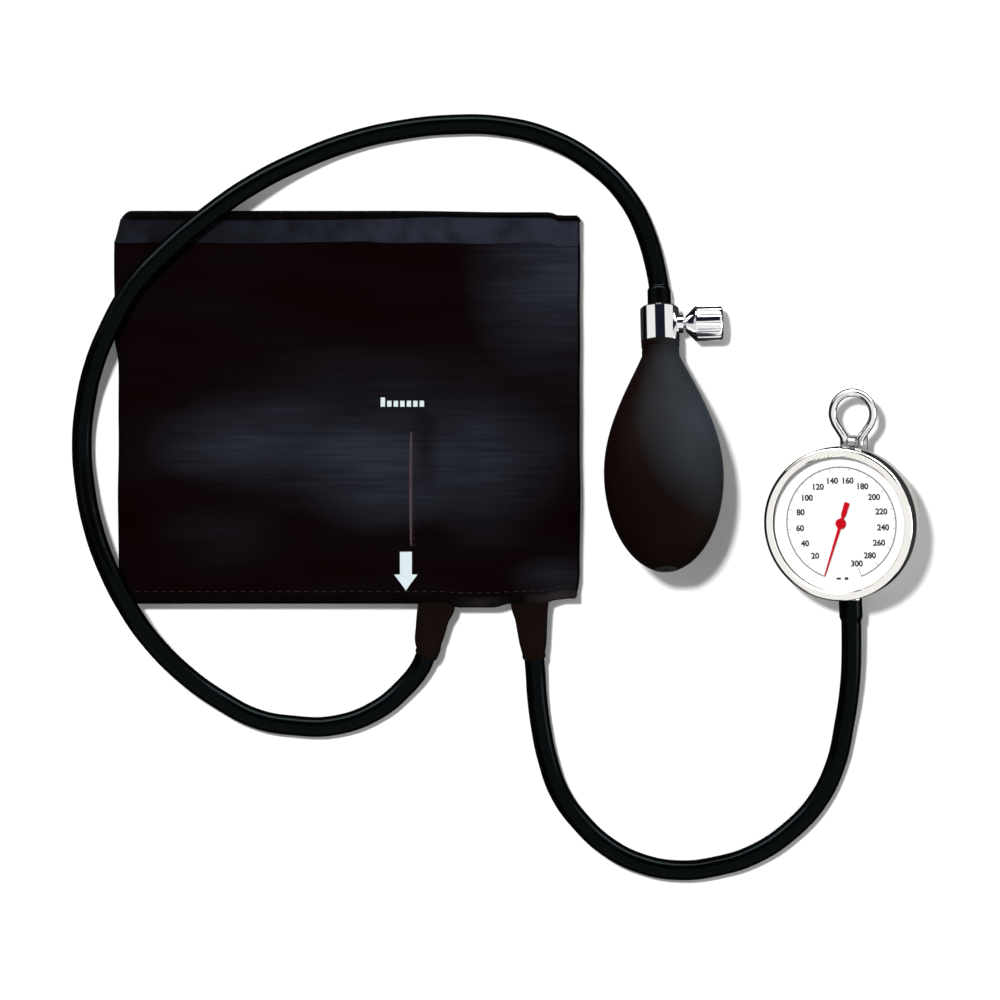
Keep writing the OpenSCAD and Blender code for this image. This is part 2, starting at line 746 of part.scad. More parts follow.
module valve_body() {
    spigot = spigot_r - fit_gap;
    color("#d7d9dc") on_bulb() difference() {
        union() {
            bar(valve_d/2, 0, valve_len - valve_chamfer);
            bar(valve_d/2, valve_len - valve_chamfer, valve_len, valve_d/2 - valve_chamfer);
            bar(spigot, -spigot_len, 0);
            hose_barb(valve_len, valve_barb_len);
        }
        bar(air_d/2, -spigot_len - cut, valve_len + valve_barb_len + cut);
        bar(disc_chamber_r, -spigot_len - cut, disc_stop);
        for (a = [0, 90]) rotate([0, 0, a])
            translate([-disc_r, -slot_w/2, disc_stop - cut]) cube([2*disc_r, slot_w, 2*cut]);
        translate([0, 0, release_z]) {
            bar_x(vent_hole_r, 0, plug_face_x + cut);
            bar_x(chamber_r, plug_face_x, seal_x + cut);
            bar_x(seal_bore_r, seal_x, valve_d/2 + cut);
            bar_x(gland_r + fit_gap, gland_seat_x, valve_d/2 + cut);
            translate([bleed_hole_x, 0, 0]) rotate([-90, 0, 0])
                cylinder(r = bleed_hole_r, h = valve_d);
        }
    }
}

module outlet_seat() {
    color("#b8a15a") on_bulb() ring(seat_bore_r, disc_chamber_r - fit_gap, -spigot_len, seat_top);
}

module outlet_disc() {
    color("#303034") on_bulb() bar(disc_r, disc_top - disc_t, disc_top);
}

module on_release() {
    on_bulb() translate([0, 0, release_z]) children();
}

module release_gland() {
    color("#c9ccd0") on_release() difference() {
        union() {
            bar_x(seal_bore_r - fit_gap, seal_end_x, gland_seat_x + skin);
            bar_x(gland_r, gland_seat_x, gland_end_x);
        }
        bar_x(stem_d/2 + fit_gap, seal_end_x - cut, gland_end_x + cut);
    }
}

module release_seal() {
    wire = (seal_bore_r - stem_d/2)/2 - fit_gap;
    mid = (seal_bore_r + stem_d/2)/2;
    color("#202022") on_release() translate([(seal_x + seal_end_x)/2, 0, 0]) rotate([0, 90, 0])
        rotate_extrude() translate([mid, 0]) circle(r = wire, $fn = seal_sides);
}

module release_plug() {
    color("#e8e6dc") on_release() {
        bar_x(plug_r, plug_face_x + fit_gap, plug_face_x + fit_gap + plug_len);
        bar_x(vent_hole_r - 2*fit_gap, plug_face_x + fit_gap - plug_pin_len, plug_face_x + 2*fit_gap);
    }
}

module release_stem() {
    color("#c9ccd0") on_release()
        bar_x(stem_d/2, plug_face_x + 2*fit_gap + plug_len, stem_end_x);
}

module release_knob() {
    end_x = grip_x + knob_len;
    color("#d7d9dc") on_release() difference() {
        rotate([0, 90, 0]) rotate_extrude() polygon(concat(
            [[0, cone_x], [cone_r, cone_x], [knob_d/2 - knob_chamfer, grip_x],
             [knob_d/2, grip_x + knob_chamfer]],
            arc([knob_d/2 - knob_edge_r, end_x - knob_edge_r], knob_edge_r, 0, 90, edge_steps),
            [[0, end_x]]));
        bar_x(stem_d/2 + fit_gap, cone_x - cut, stem_end_x + fit_gap);
        for (i = [0:knob_flutes - 1]) rotate([360*i/knob_flutes, 0, 0])
            translate([0, 0, knob_d/2 + flute_r - flute_depth]) bar_x(flute_r, flute_x, end_x + cut);
    }
}

// ---- Gauge, outside ----

module gauge_case() {
    inner_corner = case_corner_r - case_wall;
    color("#cfd1d4") on_gauge() difference() {
        rotate_extrude() polygon(concat(
            [[0, 0]], arc([back_flat_r, case_corner_r], case_corner_r, -90, 0, corner_steps),
            [[case_r, case_top], [0, case_top]]));
        rotate_extrude() polygon(concat(
            [[0, case_wall]], arc([back_flat_r, case_corner_r], inner_corner, -90, 0, corner_steps),
            [[case_in_r, case_top + cut], [0, case_top + cut]]));
        translate([0, 0, inlet_z]) rotate([90, 0, 0])
            cylinder(r = stem_r + fit_gap, h = case_r + cut);
        rotate([0, 0, hanger_turn]) for (y = rivet_at)
            translate([0, y, 0]) bar(rivet_r + fit_gap, -cut, case_wall + cut);
    }
}

module bezel() {
    skirt_z = case_top - bezel_skirt;
    color("#d7d9dc") on_gauge() difference() {
        rotate_extrude() polygon(concat(
            [[case_r + fit_gap, skirt_z], [bezel_r, skirt_z]],
            arc([bezel_r - bezel_edge_r, gauge_depth - bezel_edge_r], bezel_edge_r, 0, 90, edge_steps),
            [[bezel_in_r + bezel_chamfer, gauge_depth], [bezel_in_r, gauge_depth - bezel_chamfer],
             [bezel_in_r, gauge_depth - bezel_lip], [case_r + fit_gap, gauge_depth - bezel_lip]]));
    }
}

module crystal() {
    color([0.85, 0.92, 0.95, 0.35]) on_gauge() bar(crystal_r, crystal_z, crystal_z + crystal_t);
}

module crystal_gasket() {
    color("#202022") on_gauge() ring(case_r - gasket_w, case_r - skin, case_top, crystal_z);
}

module dial() {
    color("white") on_gauge() difference() {
        bar(case_in_r - dial_edge_gap, dial_z, dial_z + dial_t);
        bar(arbor_r + dial_hole_gap, dial_z - cut, dial_z + dial_t + cut);
    }
}

// Two feet behind the dial that sit in holes of the upper plate.
module dial_feet() {
    color("#c9ccd0") on_gauge() for (side = [-1, 1]) translate([side*dial_foot_x, 0, 0])
        bar(dial_foot_r, upper_plate_z + fit_gap, dial_z);
}

// The printed arc, with a tick at every 10.
module dial_scale() {
    ink_z = dial_z + dial_t;
    gap_half = (360 - pointer_sweep)/2;
    color("#77777c") on_gauge() translate([0, 0, ink_z]) linear_extrude(skin) union() {
            polygon(concat(
                arc([0, 0], scale_r, -90 + gap_half, 270 - gap_half, scale_steps),
                arc([0, 0], scale_r - scale_line_w, 270 - gap_half, -90 + gap_half, scale_steps)));
            for (i = [0:tick_count]) rotate([0, 0, 270 - gap_half - i*pointer_sweep/tick_count])
                translate([scale_r - tick_len[i % 2], -tick_w/2]) square([tick_len[i % 2], tick_w]);
    }
}

// Children are drawn with the pointer's direction along +X, at its rest on 0.
module at_pointer_rest() {
    on_gauge() rotate([0, 0, 270 - (360 - pointer_sweep)/2]) children();
}

module pointer() {
    edge = [
        [-pointer_tail, -pointer_tail_w/2], [-pointer_tail_x, -pointer_tail_w/2],
        [-pointer_hub_r, -pointer_waist_w/2], [0, -pointer_w/2], [pointer_len, -pointer_tip_w/2]
    ];
    color("#d81626") at_pointer_rest() difference() {
        union() {
            translate([0, 0, pointer_z]) linear_extrude(pointer_t)
                polygon(concat(edge, [for (p = reversed(edge)) [p[0], -p[1]]]));
            bar(pointer_hub_r, pointer_z + pointer_hub_z[0], pointer_z + pointer_hub_z[1]);
        }
        bar(pivot_d/2 + fit_gap, pointer_z - cut, pointer_z + pointer_bore);
    }
}

// ---- Gauge, inside ----

module movement_base() {
    color("#b8a15a") on_gauge() difference() {
        union() {
            bar(frame_r, base_z, base_top);
            translate([-block_w/2, block_y0, block_z0])
                cube([block_w, block_y1 - block_y0, block_top - block_z0]);
            translate([-block_w/2, block_foot_y, base_z])
                cube([block_w, block_y1 - block_foot_y, block_top - base_z]);
        }
        // The air way: in from the stem, down the block, and up into the capsule.
        translate([0, block_y0 - cut, inlet_z]) rotate([-90, 0, 0])
            cylinder(r = stem_r + fit_gap, h = cut + stem_in_block);
        translate([0, block_y0 + stem_in_block - cut, inlet_z]) rotate([-90, 0, 0])
            cylinder(r = way_r, h = way_y - block_y0 - stem_in_block + cut);
        translate([0, way_y, 0]) bar(way_r, way_z, inlet_z);
        translate([0, way_y, way_z]) rotate([-90, 0, 0]) cylinder(r = way_r, h = -way_y);
        bar(way_r, way_z, base_top + cut);
        rotate([0, 0, hanger_turn]) for (y = rivet_at)
            translate([0, y, 0]) bar(rivet_head_r + end_gap, base_z - cut, base_z + rivet_head_h + fit_gap);
    }
}

// Half the thickness of the capsule at a distance from its centre.
function capsule_half(r) =
    (capsule_t/2 - shell_t - wave_h)*(1 - pow(r/(capsule_r - shell_rim_w), 4)) + shell_t
    + wave_h*sin(360*r/wave_len)*(r < capsule_r - 2*shell_rim_w ? 1 : 0);

// One corrugated shell: +1 for the upper one, -1 for the lower one.
module capsule_shell(side) {
    stations = [for (r = [wave_r[0]:wave_step:wave_r[1]]) r];
    outer = [for (r = stations) [r, capsule_mid + side*capsule_half(r)]];
    inner = [for (r = stations) [r, capsule_mid + side*(capsule_half(r) - shell_t)]];
    rim = capsule_mid + side*skin/2;
    face = capsule_mid + side*capsule_t/2;
    rotate_extrude() polygon(concat(
        [[way_r, face], [shell_hub_r, face]], outer,
        [[capsule_r - 0.8*shell_rim_w, rim + side*shell_t], [capsule_r, rim + side*shell_t],
         [capsule_r, rim], [capsule_r - shell_rim_w, rim]],
        reversed(inner), [[shell_hub_r, face - side*shell_t], [way_r, face - side*shell_t]]));
}

module capsule_lower() {
    color("#c3a45c") on_gauge() capsule_shell(-1);
}

module capsule_upper() {
    color("#c3a45c") on_gauge() {
        capsule_shell(1);
        bar(shell_plug_r, capsule_top - shell_t, capsule_top);
    }
}

module capsule_post() {
    color("#c9ccd0") on_gauge() {
        bar(post_r, capsule_top + fit_gap, capsule_top + post_base_h);
        bar(post_tip_r, capsule_top + post_base_h - fit_gap, post_top);
    }
}

module movement_pillars() {
    color("#b8a15a") on_gauge() for (a = pillar_angles) rotate([0, 0, a])
        translate([pillar_at, 0, 0]) {
            bar(pillar_r, base_top, lower_plate_z);
            difference() {
                bar(pillar_r, lower_plate_top, upper_plate_z);
                bar(screw_r + fit_gap, upper_plate_z - screw_depth - fit_gap, upper_plate_z + cut);
            }
        }
}

module bearing_hole(x, y, z) {
    translate([x, y, 0]) bar(pivot_d/2 + fit_gap, z - cut, z + plate_t + cut);
}

module lower_plate() {
    color("#c3a45c") on_gauge() difference() {
        union() {
            bar(frame_r, lower_plate_z, lower_plate_top);
            for (x = [rocker_x0, rocker_x1 - bracket_w])
                translate([x, rocker_y - bracket_d/2, rocker_z - bracket_below])
                    cube([bracket_w, bracket_d, lower_plate_z - rocker_z + bracket_below + skin]);
        }
        bearing_hole(0, 0, lower_plate_z);
        bearing_hole(sector_x, sector_y, lower_plate_z);
        translate([push_x - push_window[0]/2, rocker_y - push_window[1]/2, lower_plate_z - cut])
            cube([push_window[0], push_window[1], plate_t + 2*cut]);
        translate([0, rocker_y, rocker_z])
            bar_x(pivot_d/2 + fit_gap, rocker_x0 - cut, rocker_x1 + cut);
    }
}

module upper_plate() {
    color("#c3a45c") on_gauge() difference() {
        bar(frame_r, upper_plate_z, dial_z);
        bar(arbor_r + fit_gap, upper_plate_z - cut, dial_z + cut);
        bearing_hole(sector_x, sector_y, upper_plate_z);
        for (side = [-1, 1]) translate([side*dial_foot_x, 0, 0])
            bar(dial_foot_r + fit_gap, upper_plate_z - cut, dial_z + cut);
        for (a = pillar_angles) rotate([0, 0, a]) translate([pillar_at, 0, 0]) {
            bar(screw_r + fit_gap, upper_plate_z - cut, dial_z + cut);
            bar(screw_r + fit_gap, screw_cone_z, dial_z, screw_head_r + fit_gap);
        }
    }
}

// Countersunk screws through the upper plate into the pillars.
module plate_screws() {
    color("#c9ccd0") on_gauge() for (a = pillar_angles) rotate([0, 0, a])
        translate([pillar_at, 0, 0]) {
            bar(screw_r, upper_plate_z - screw_depth, dial_z - fit_gap);
            bar(screw_r, screw_cone_z, dial_z - fit_gap, screw_head_r);
        }
}

// Gear teeth with short flanks, drawn on a circle of pitch radius r.
module teeth(r, count, angles) {
    thick = PI*gear_module/2 - gear_backlash;
    for (a = angles) rotate([0, 0, a]) polygon([
        [r - tooth_root - tooth_sunk, -thick*tooth_foot], [r, -thick/2],
        [r + tooth_h, -thick*tooth_tip], [r + tooth_h, thick*tooth_tip], [r, thick/2],
        [r - tooth_root - tooth_sunk, thick*tooth_foot]]);
}

module pinion_arbor() {
    leaf = 360/pinion_teeth;
    color("#b9bcc2") on_gauge() {
        bar(pivot_d/2, lower_plate_z, pinion_z - end_gap);
        translate([0, 0, pinion_z]) linear_extrude(pinion_t) rotate([0, 0, sector_dir - 180]) union() {
            circle(r = pinion_r - tooth_root);
            teeth(pinion_r, pinion_teeth, [for (i = [0:pinion_teeth - 1]) i*leaf]);
        }
        bar(pinion_r - tooth_root, pinion_z - end_gap, gear_z);
        bar(arbor_r, pinion_z + pinion_t, dial_z + dial_t + arbor_rise);
        bar(pivot_d/2, dial_z + dial_t, pointer_z + pointer_bore - fit_gap);
    }
}

module hairspring() {
    steps = spring_turns*spring_steps;
    function at(i, off) = let (a = 360*i/spring_steps, r = spring_r0 + (spring_r1 - spring_r0)*i/steps + off)
        r*[cos(a), sin(a)];
    color("#9aa0aa") on_gauge() translate([0, 0, spring_z]) linear_extrude(spring_h) polygon(concat(
        [for (i = [0:steps]) at(i, spring_strip)], [for (i = [steps:-1:0]) at(i, 0)]));
}

// The sector at rest: its teeth are half the sweep back from the line of centres.
module sector_gear() {
    pitch = 360/sector_teeth;
    half_count = ceil(sector_sweep/pitch/2) + sector_spare_teeth;
    half_angle = (half_count + 1)*pitch;
    color("#c3a45c") on_gauge() translate([sector_x, sector_y, 0]) {
        translate([0, 0, gear_z]) linear_extrude(gear_t) rotate([0, 0, -sector_sweep/2]) union() {
            rotate([0, 0, sector_dir]) {
                polygon(concat([[sector_waist_x, 0]],
                    arc([0, 0], sector_r - tooth_root, -half_angle, half_angle, 2*half_count)));
                // A tooth gap lies on the line of centres at rest.
                teeth(sector_r, sector_teeth,
                      [for (i = [-half_count:half_count]) (i + tooth_phase())*pitch]);
            }
            circle(r = sector_hub_r);
            translate([0, -tail_w/2]) square([tail_r + tail_w/2, tail_w]);
        }
        rotate([0, 0, -sector_sweep/2]) translate([tail_r, 0, 0]) bar(pin_r, gear_z - pin_h, gear_z);
        bar(pivot_d/2, lower_plate_z, lower_plate_top + end_gap);
        bar(arbor_r, lower_plate_top + end_gap, upper_plate_z - end_gap);
        bar(pivot_d/2, upper_plate_z - end_gap, dial_z);
    }
}

// Fraction of a tooth that puts a gap on the line of centres at rest.
function tooth_phase() = let (x = sector_sweep*sector_teeth/720) x - floor(x) - 0.5;

module rocking_shaft() {
    rest = rocker_sweep/2;
    push_h = gear_z - end_gap - rocker_z;
    color("#b9bcc2") on_gauge() translate([0, rocker_y, rocker_z]) {
        bar_x(rocker_r, rocker_x0 + bracket_w + end_gap, rocker_x1 - bracket_w - end_gap);
        bar_x(pivot_d/2, rocker_x0, rocker_x1);
        // The lift arm ends over the capsule's post.
        translate([-lift_arm_w/2, -rocker_y - lift_arm_past, post_top + post_gap - rocker_z])
            cube([lift_arm_w, rocker_y + lift_arm_past, lift_arm_t]);
        // The push arm leans back by half its swing at rest.
        rotate([rest, 0, 0]) translate([push_x - push_arm_w/2, -push_arm_t/2, 0])
            cube([push_arm_w, push_arm_t, push_h]);
    }
}

module inlet_stem() {
    color("#d7d9dc") on_gauge() translate([0, 0, inlet_z]) rotate([90, 0, 0]) difference() {
        union() {
            bar(stem_r, -block_y0 - stem_in_block + stem_short, inlet_flange_y);
            bar(inlet_flange_r, inlet_flange_y, inlet_face_y);
            hose_barb(inlet_face_y, inlet_barb_len);
        }
        bar(stem_bore_r, -block_y0 - stem_in_block, inlet_face_y + inlet_barb_len + cut);
    }
}

module inlet_washer() {
    color("#7a2f22") on_gauge() difference() {
        translate([0, 0, inlet_z]) rotate([90, 0, 0])
            ring(stem_r + fit_gap, inlet_flange_r, case_r - cut, inlet_flange_y);
        bar(case_r, 0, case_top, $fn = 360);
    }
}

// ---- Hanger ----

module hanger_plate() {
    color("#c9ccd0") on_hanger() difference() {
        union() {
            translate([-hanger_plate_w/2, hanger_y0, -hanger_t])
                cube([hanger_plate_w, hanger_y1 - hanger_y0, hanger_t]);
            translate([-barrel_w/2, hinge_y - barrel_r, -skin])
                cube([barrel_w, 2*barrel_r, hinge_z + skin]);
            translate([0, hinge_y, hinge_z]) bar_x(barrel_r, -barrel_w/2, barrel_w/2);
        }
        translate([0, hinge_y, hinge_z]) bar_x(foot_r + fit_gap, -barrel_w, barrel_w);
        for (y = rivet_at) translate([0, y, 0]) bar(rivet_r + fit_gap, -hanger_t - cut, cut);
    }
}

module hanger_rivets() {
    color("#c9ccd0") on_hanger() for (y = rivet_at) translate([0, y, 0]) {
        bar(rivet_r, -hanger_t - skin, case_wall + skin);
        bar(rivet_head_r, -hanger_t - rivet_head_h, -hanger_t);
        bar(rivet_head_r, case_wall, case_wall + rivet_head_h);
    }
}

// The loop is one wire: up one limb, round the ring and down the other limb, with a
// foot on each limb that turns in to the barrel.
function loop_side(side) = concat([[side*limb_x, hinge_y - foot_cover, hinge_z]],
    [for (bend = limb_bends) [side*(limb_x + bend[0]), hinge_y + bend[1], hinge_z]]);

module hanger_loop() {
    ring_line = [for (p = arc([0, loop_y], loop_r, -90 + loop_open, 270 - loop_open, loop_steps))
        [p[0], p[1], hinge_z]];
    line = concat(loop_side(1), ring_line, reversed(loop_side(-1)));
    color("#d7d9dc") on_hanger() {
        swept_tube(line, [for (p = line) [wire_r, wire_r]], wire_sides);
        for (side = [-1, 1]) translate([0, hinge_y, hinge_z])
            bar_x(foot_r, min(side*limb_x, side*foot_apart), max(side*limb_x, side*foot_apart));
    }
}

cuff_cover();
cuff_lining();
top_binding();
bottom_binding();
hook_panel();
loop_panel();
bladder();
inflation_neck();
gauge_neck();
artery_arrow();
bulb_hose();
gauge_hose();
squeeze_bulb();
intake_valve_body();
intake_ball();
intake_cage();
valve_body();
outlet_seat();
outlet_disc();
release_gland();
release_seal();
release_plug();
release_stem();
release_knob();
gauge_case();
bezel();
crystal();
crystal_gasket();
dial();
dial_scale();
dial_feet();
pointer();
pinion_arbor();
hairspring();
sector_gear();
rocking_shaft();
movement_base();
capsule_lower();
capsule_upper();
capsule_post();
movement_pillars();
lower_plate();
upper_plate();
plate_screws();
inlet_stem();
inlet_washer();
hanger_plate();
hanger_rivets();
hanger_loop();
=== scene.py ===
"""The looks of an arm cuff with its bulb and dial gauge, laid out on a pale table."""

import math

import bpy
from mathutils import Matrix, Vector, noise


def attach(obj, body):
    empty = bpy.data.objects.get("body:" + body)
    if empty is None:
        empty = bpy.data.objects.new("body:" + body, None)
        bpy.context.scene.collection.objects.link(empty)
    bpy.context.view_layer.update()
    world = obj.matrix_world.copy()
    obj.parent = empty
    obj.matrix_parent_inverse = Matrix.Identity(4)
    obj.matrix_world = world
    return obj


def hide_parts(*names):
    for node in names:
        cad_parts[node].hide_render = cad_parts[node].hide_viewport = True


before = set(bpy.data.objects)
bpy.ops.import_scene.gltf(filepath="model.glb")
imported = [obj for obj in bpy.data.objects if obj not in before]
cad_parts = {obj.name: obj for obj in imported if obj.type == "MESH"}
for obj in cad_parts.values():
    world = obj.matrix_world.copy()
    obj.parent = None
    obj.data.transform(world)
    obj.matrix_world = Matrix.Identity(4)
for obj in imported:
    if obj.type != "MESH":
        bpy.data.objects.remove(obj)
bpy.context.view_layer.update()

MM = 0.001


# ---- Camera ----

VIEW_CENTRE = (56.4, -34.2)     # what the middle of the picture shows, in mm
VIEW_WIDTH = 370                # mm across the picture at the height of the table
CAMERA_HEIGHT = 3000            # a long lens from high up keeps tall pieces upright
SENSOR = 36


def add_camera():
    """A camera that looks straight down."""
    bpy.ops.object.camera_add(location=(VIEW_CENTRE[0] * MM, VIEW_CENTRE[1] * MM, CAMERA_HEIGHT * MM),
                              rotation=(0, 0, 0))
    camera = bpy.context.object
    camera.name = "camera"
    camera.data.sensor_width = SENSOR
    camera.data.lens = SENSOR * CAMERA_HEIGHT / VIEW_WIDTH
    camera.data.clip_end = 20
    bpy.context.scene.camera = camera


# ---- Places shared with the solids, in mm ----

BULB_PITCH = 14.7
BULB_YAW = 1.2
BULB_MOUTH = (115.5, 24.0, 10.2656)
GAUGE_BACK = (186.5, -41.2, 6.9735)
GAUGE_TILT = 18.5
GAUGE_TILT_AXIS = (0.32, -0.95, 0)
GAUGE_ROLL = 1.5
HANGER_TURN = -3


def turn(angle, axis):
    """A turn in degrees."""
    return Matrix.Rotation(math.radians(angle), 4, axis)


# Each of these stands for a piece's own frame: +Z runs along the bulb towards its hose,
# or out of the dial.
ON_BULB = Matrix.Translation(Vector(BULB_MOUTH) * MM) @ turn(BULB_YAW, "Z") @ turn(-90 - BULB_PITCH, "X")
ON_GAUGE = (Matrix.Translation(Vector(GAUGE_BACK) * MM)
            @ turn(GAUGE_TILT, Vector(GAUGE_TILT_AXIS).normalized()) @ turn(GAUGE_ROLL, "Z"))
ON_HANGER = ON_GAUGE @ turn(HANGER_TURN, "Z")


# ---- Ways of working ----

def deselect():
    if bpy.context.mode != "OBJECT":
        bpy.ops.object.mode_set(mode="OBJECT")
    bpy.ops.object.select_all(action="DESELECT")


def edit(piece):
    """Opens one piece in edit mode with nothing else selected."""
    deselect()
    piece.select_set(True)
    bpy.context.view_layer.objects.active = piece
    bpy.ops.object.mode_set(mode="EDIT")


def named(name):
    """Names the piece that was just made."""
    piece = bpy.context.object
    piece.name = name
    piece.data.name = name
    return piece


def tidy(piece, smooth=35, merge=0.00001):
    """Merges doubles, turns every face outwards and smooths all but the sharp edges."""
    edit(piece)
    bpy.ops.mesh.select_mode(type="VERT")
    bpy.ops.mesh.select_all(action="SELECT")
    bpy.ops.mesh.remove_doubles(threshold=merge)
    bpy.ops.mesh.normals_make_consistent(inside=False)
    deselect()
    piece.select_set(True)
    bpy.context.view_layer.objects.active = piece
    bpy.ops.object.shade_smooth_by_angle(angle=math.radians(smooth))


def finish_with(piece, kind, **settings):
    """Adds one modifier and applies it."""
    deselect()
    piece.select_set(True)
    bpy.context.view_layer.objects.active = piece
    modifier = piece.modifiers.new(kind.lower(), kind)
    for key, value in settings.items():
        setattr(modifier, key, value)
    bpy.ops.object.modifier_apply(modifier=modifier.name)


def put(piece, place):
    """Moves a finished mesh to its place and leaves its object at the origin."""
    deselect()
    piece.matrix_world = place
    piece.select_set(True)
    bpy.context.view_layer.objects.active = piece
    bpy.ops.object.transform_apply(location=True, rotation=True, scale=True)


def belongs(piece, body, slot, material, *nodes):
    """Rides on a body, takes a finish, and stands for CAD nodes."""
    piece.data.materials.clear()
    piece.data.materials.append(material)
    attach(piece, body)
    if nodes:
        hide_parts(*nodes)


def turned(name, outline, sides):
    """A round piece: one ring is extruded, moved and scaled along an outline of radii and
    heights in mm. Its ends are closed where the outline doesn't come back to its start."""
    closed = outline[0] == outline[-1]
    radius, height = outline[0]
    deselect()
    bpy.ops.mesh.primitive_circle_add(vertices=sides, radius=radius * MM, fill_type="NOTHING")
    piece = named(name)
    edit(piece)
    bpy.ops.mesh.select_all(action="SELECT")
    bpy.ops.transform.translate(value=(0, 0, height * MM))
    if not closed:
        bpy.ops.mesh.edge_face_add()
    for next_radius, next_height in outline[1:]:
        bpy.ops.mesh.extrude_edges_move()
        bpy.ops.transform.translate(value=(0, 0, (next_height - height) * MM))
        share = next_radius / radius
        bpy.ops.transform.resize(value=(share, share, 1), center_override=(0, 0, next_height * MM))
        radius, height = next_radius, next_height
    if not closed:
        bpy.ops.mesh.edge_face_add()
    tidy(piece)
    return piece


def rounded(centre, radius, start, end, steps):
    """Points round part of a circle, for an outline."""
    angles = [math.radians(start + (end - start) * i / steps) for i in range(steps + 1)]
    return [(centre[0] + radius * math.cos(a), centre[1] + radius * math.sin(a)) for a in angles]


def shaped_grid(name, columns, rows, place):
    """A sheet: a flat grid whose points go where place(u, v) says, in mm."""
    deselect()
    bpy.ops.mesh.primitive_grid_add(x_subdivisions=columns, y_subdivisions=rows, size=1)
    piece = named(name)
    for point in piece.data.vertices:
        point.co = Vector(place(point.co.x + 0.5, point.co.y + 0.5)) * MM
    return piece


def wire(name, route, diameter, stretch=None):
    """A round wire or hose along points in mm; stretch gives each point's share of the diameter."""
    deselect()
    bpy.ops.curve.primitive_bezier_curve_add()
    piece = named(name)
    spline = piece.data.splines[0]
    spline.bezier_points.add(len(route) - 2)
    for i, point in enumerate(spline.bezier_points):
        point.co = Vector(route[i]) * MM
        point.radius = stretch[i] if stretch else 1
        point.handle_left_type = point.handle_right_type = "AUTO"
    piece.data.dimensions = "3D"
    piece.data.twist_mode = "MINIMUM"
    piece.data.bevel_depth = diameter / 2 * MM
    piece.data.bevel_resolution = 6
    piece.data.resolution_u = 10
    piece.data.use_fill_caps = True
    return piece


def made_mesh(piece):
    """Turns a wire or a text into a mesh."""
    deselect()
    piece.select_set(True)
    bpy.context.view_layer.objects.active = piece
    bpy.ops.object.convert(target="MESH")
    return bpy.context.object


def ripple(x, y, size, seed):
    """Smooth random height from -1 to 1 with features of about one size, in mm."""
    return noise.noise(Vector((x / size, y / size, seed)))


def ease(value, start, end):
    """Goes smoothly from 0 at start to 1 at end."""
    t = min(1, max(0, (value - start) / (end - start)))
    return t * t * (3 - 2 * t)


# ---- Ways of finishing a surface ----

def finish(name, colour, roughness, **sockets):
    """A material with its even values on the shader's own sockets."""
    material = bpy.data.materials.new(name)
    material.use_nodes = True
    shader = material.node_tree.nodes["Principled BSDF"]
    shader.inputs["Base Color"].default_value = (*colour, 1)
    shader.inputs["Roughness"].default_value = roughness
    for socket, value in sockets.items():
        shader.inputs[socket.replace("_", " ")].default_value = value
    return material


def node(material, kind, **settings):
    made = material.node_tree.nodes.new(kind)
    for key, value in settings.items():
        setattr(made, key, value)
    return made


def join(material, start, end):
    """Links one socket to another."""
    material.node_tree.links.new(start, end)


def shader_of(material):
    return material.node_tree.nodes["Principled BSDF"]


def where(material, stretch=(1, 1, 1)):
    """Places on the piece; a stretch under 1 draws a pattern out along that axis."""
    coordinates = node(material, "ShaderNodeTexCoord")
    mapping = node(material, "ShaderNodeMapping")
    mapping.inputs["Scale"].default_value = stretch
    join(material, coordinates.outputs["Object"], mapping.inputs["Vector"])
    return mapping.outputs["Vector"]


def cloud(material, place, size, detail=2, roughness=0.5):
    """Random patches about as large as size, in mm."""
    texture = node(material, "ShaderNodeTexNoise")
    texture.inputs["Scale"].default_value = 1000 / size
    texture.inputs["Detail"].default_value = detail
    texture.inputs["Roughness"].default_value = roughness
    join(material, place, texture.inputs["Vector"])
    return texture.outputs["Fac"]


def spot(material, centre, half, strength):
    """A soft oval seen from above: strength in its middle, 0 from half its width and height out."""
    coordinates = node(material, "ShaderNodeTexCoord")
    mapping = node(material, "ShaderNodeMapping")
    stretch = [1000 / size for size in half]
    middle = [-place * MM * share for place, share in zip(centre, stretch)]
    mapping.inputs["Scale"].default_value = (*stretch, 0)
    mapping.inputs["Location"].default_value = (*middle, 0)
    join(material, coordinates.outputs["Object"], mapping.inputs["Vector"])
    oval = node(material, "ShaderNodeTexGradient", gradient_type="SPHERICAL")
    join(material, mapping.outputs["Vector"], oval.inputs["Vector"])
    return spread(material, oval.outputs["Fac"], 0, strength, 0, 1)


def spots(material, *shapes):
    """The sum of several soft ovals, each given by centre, half size and strength."""
    total = spot(material, *shapes[0])
    for shape in shapes[1:]:
        total = added(material, total, spot(material, *shape))
    return total


def ribs(material, place, direction, pitch):
    """Even ribs across one direction, a pitch apart in mm."""
    texture = node(material, "ShaderNodeTexWave", wave_type="BANDS", bands_direction=direction)
    texture.inputs["Scale"].default_value = 2 * math.pi * 1000 / (20 * pitch)
    join(material, place, texture.inputs["Vector"])
    return texture.outputs["Fac"]


def spread(material, value, low, high, start=0.3, end=0.7):
    """Turns a pattern's values from start to end into low to high."""
    ramp = node(material, "ShaderNodeMapRange")
    for socket, number in (("From Min", start), ("From Max", end), ("To Min", low), ("To Max", high)):
        ramp.inputs[socket].default_value = number
    join(material, value, ramp.inputs["Value"])
    return ramp.outputs["Result"]


def added(material, first, second, operation="ADD"):
    """Two patterns put together, by adding them unless told otherwise."""
    maths = node(material, "ShaderNodeMath", operation=operation)
    join(material, first, maths.inputs[0])
    join(material, second, maths.inputs[1])
    return maths.outputs["Value"]


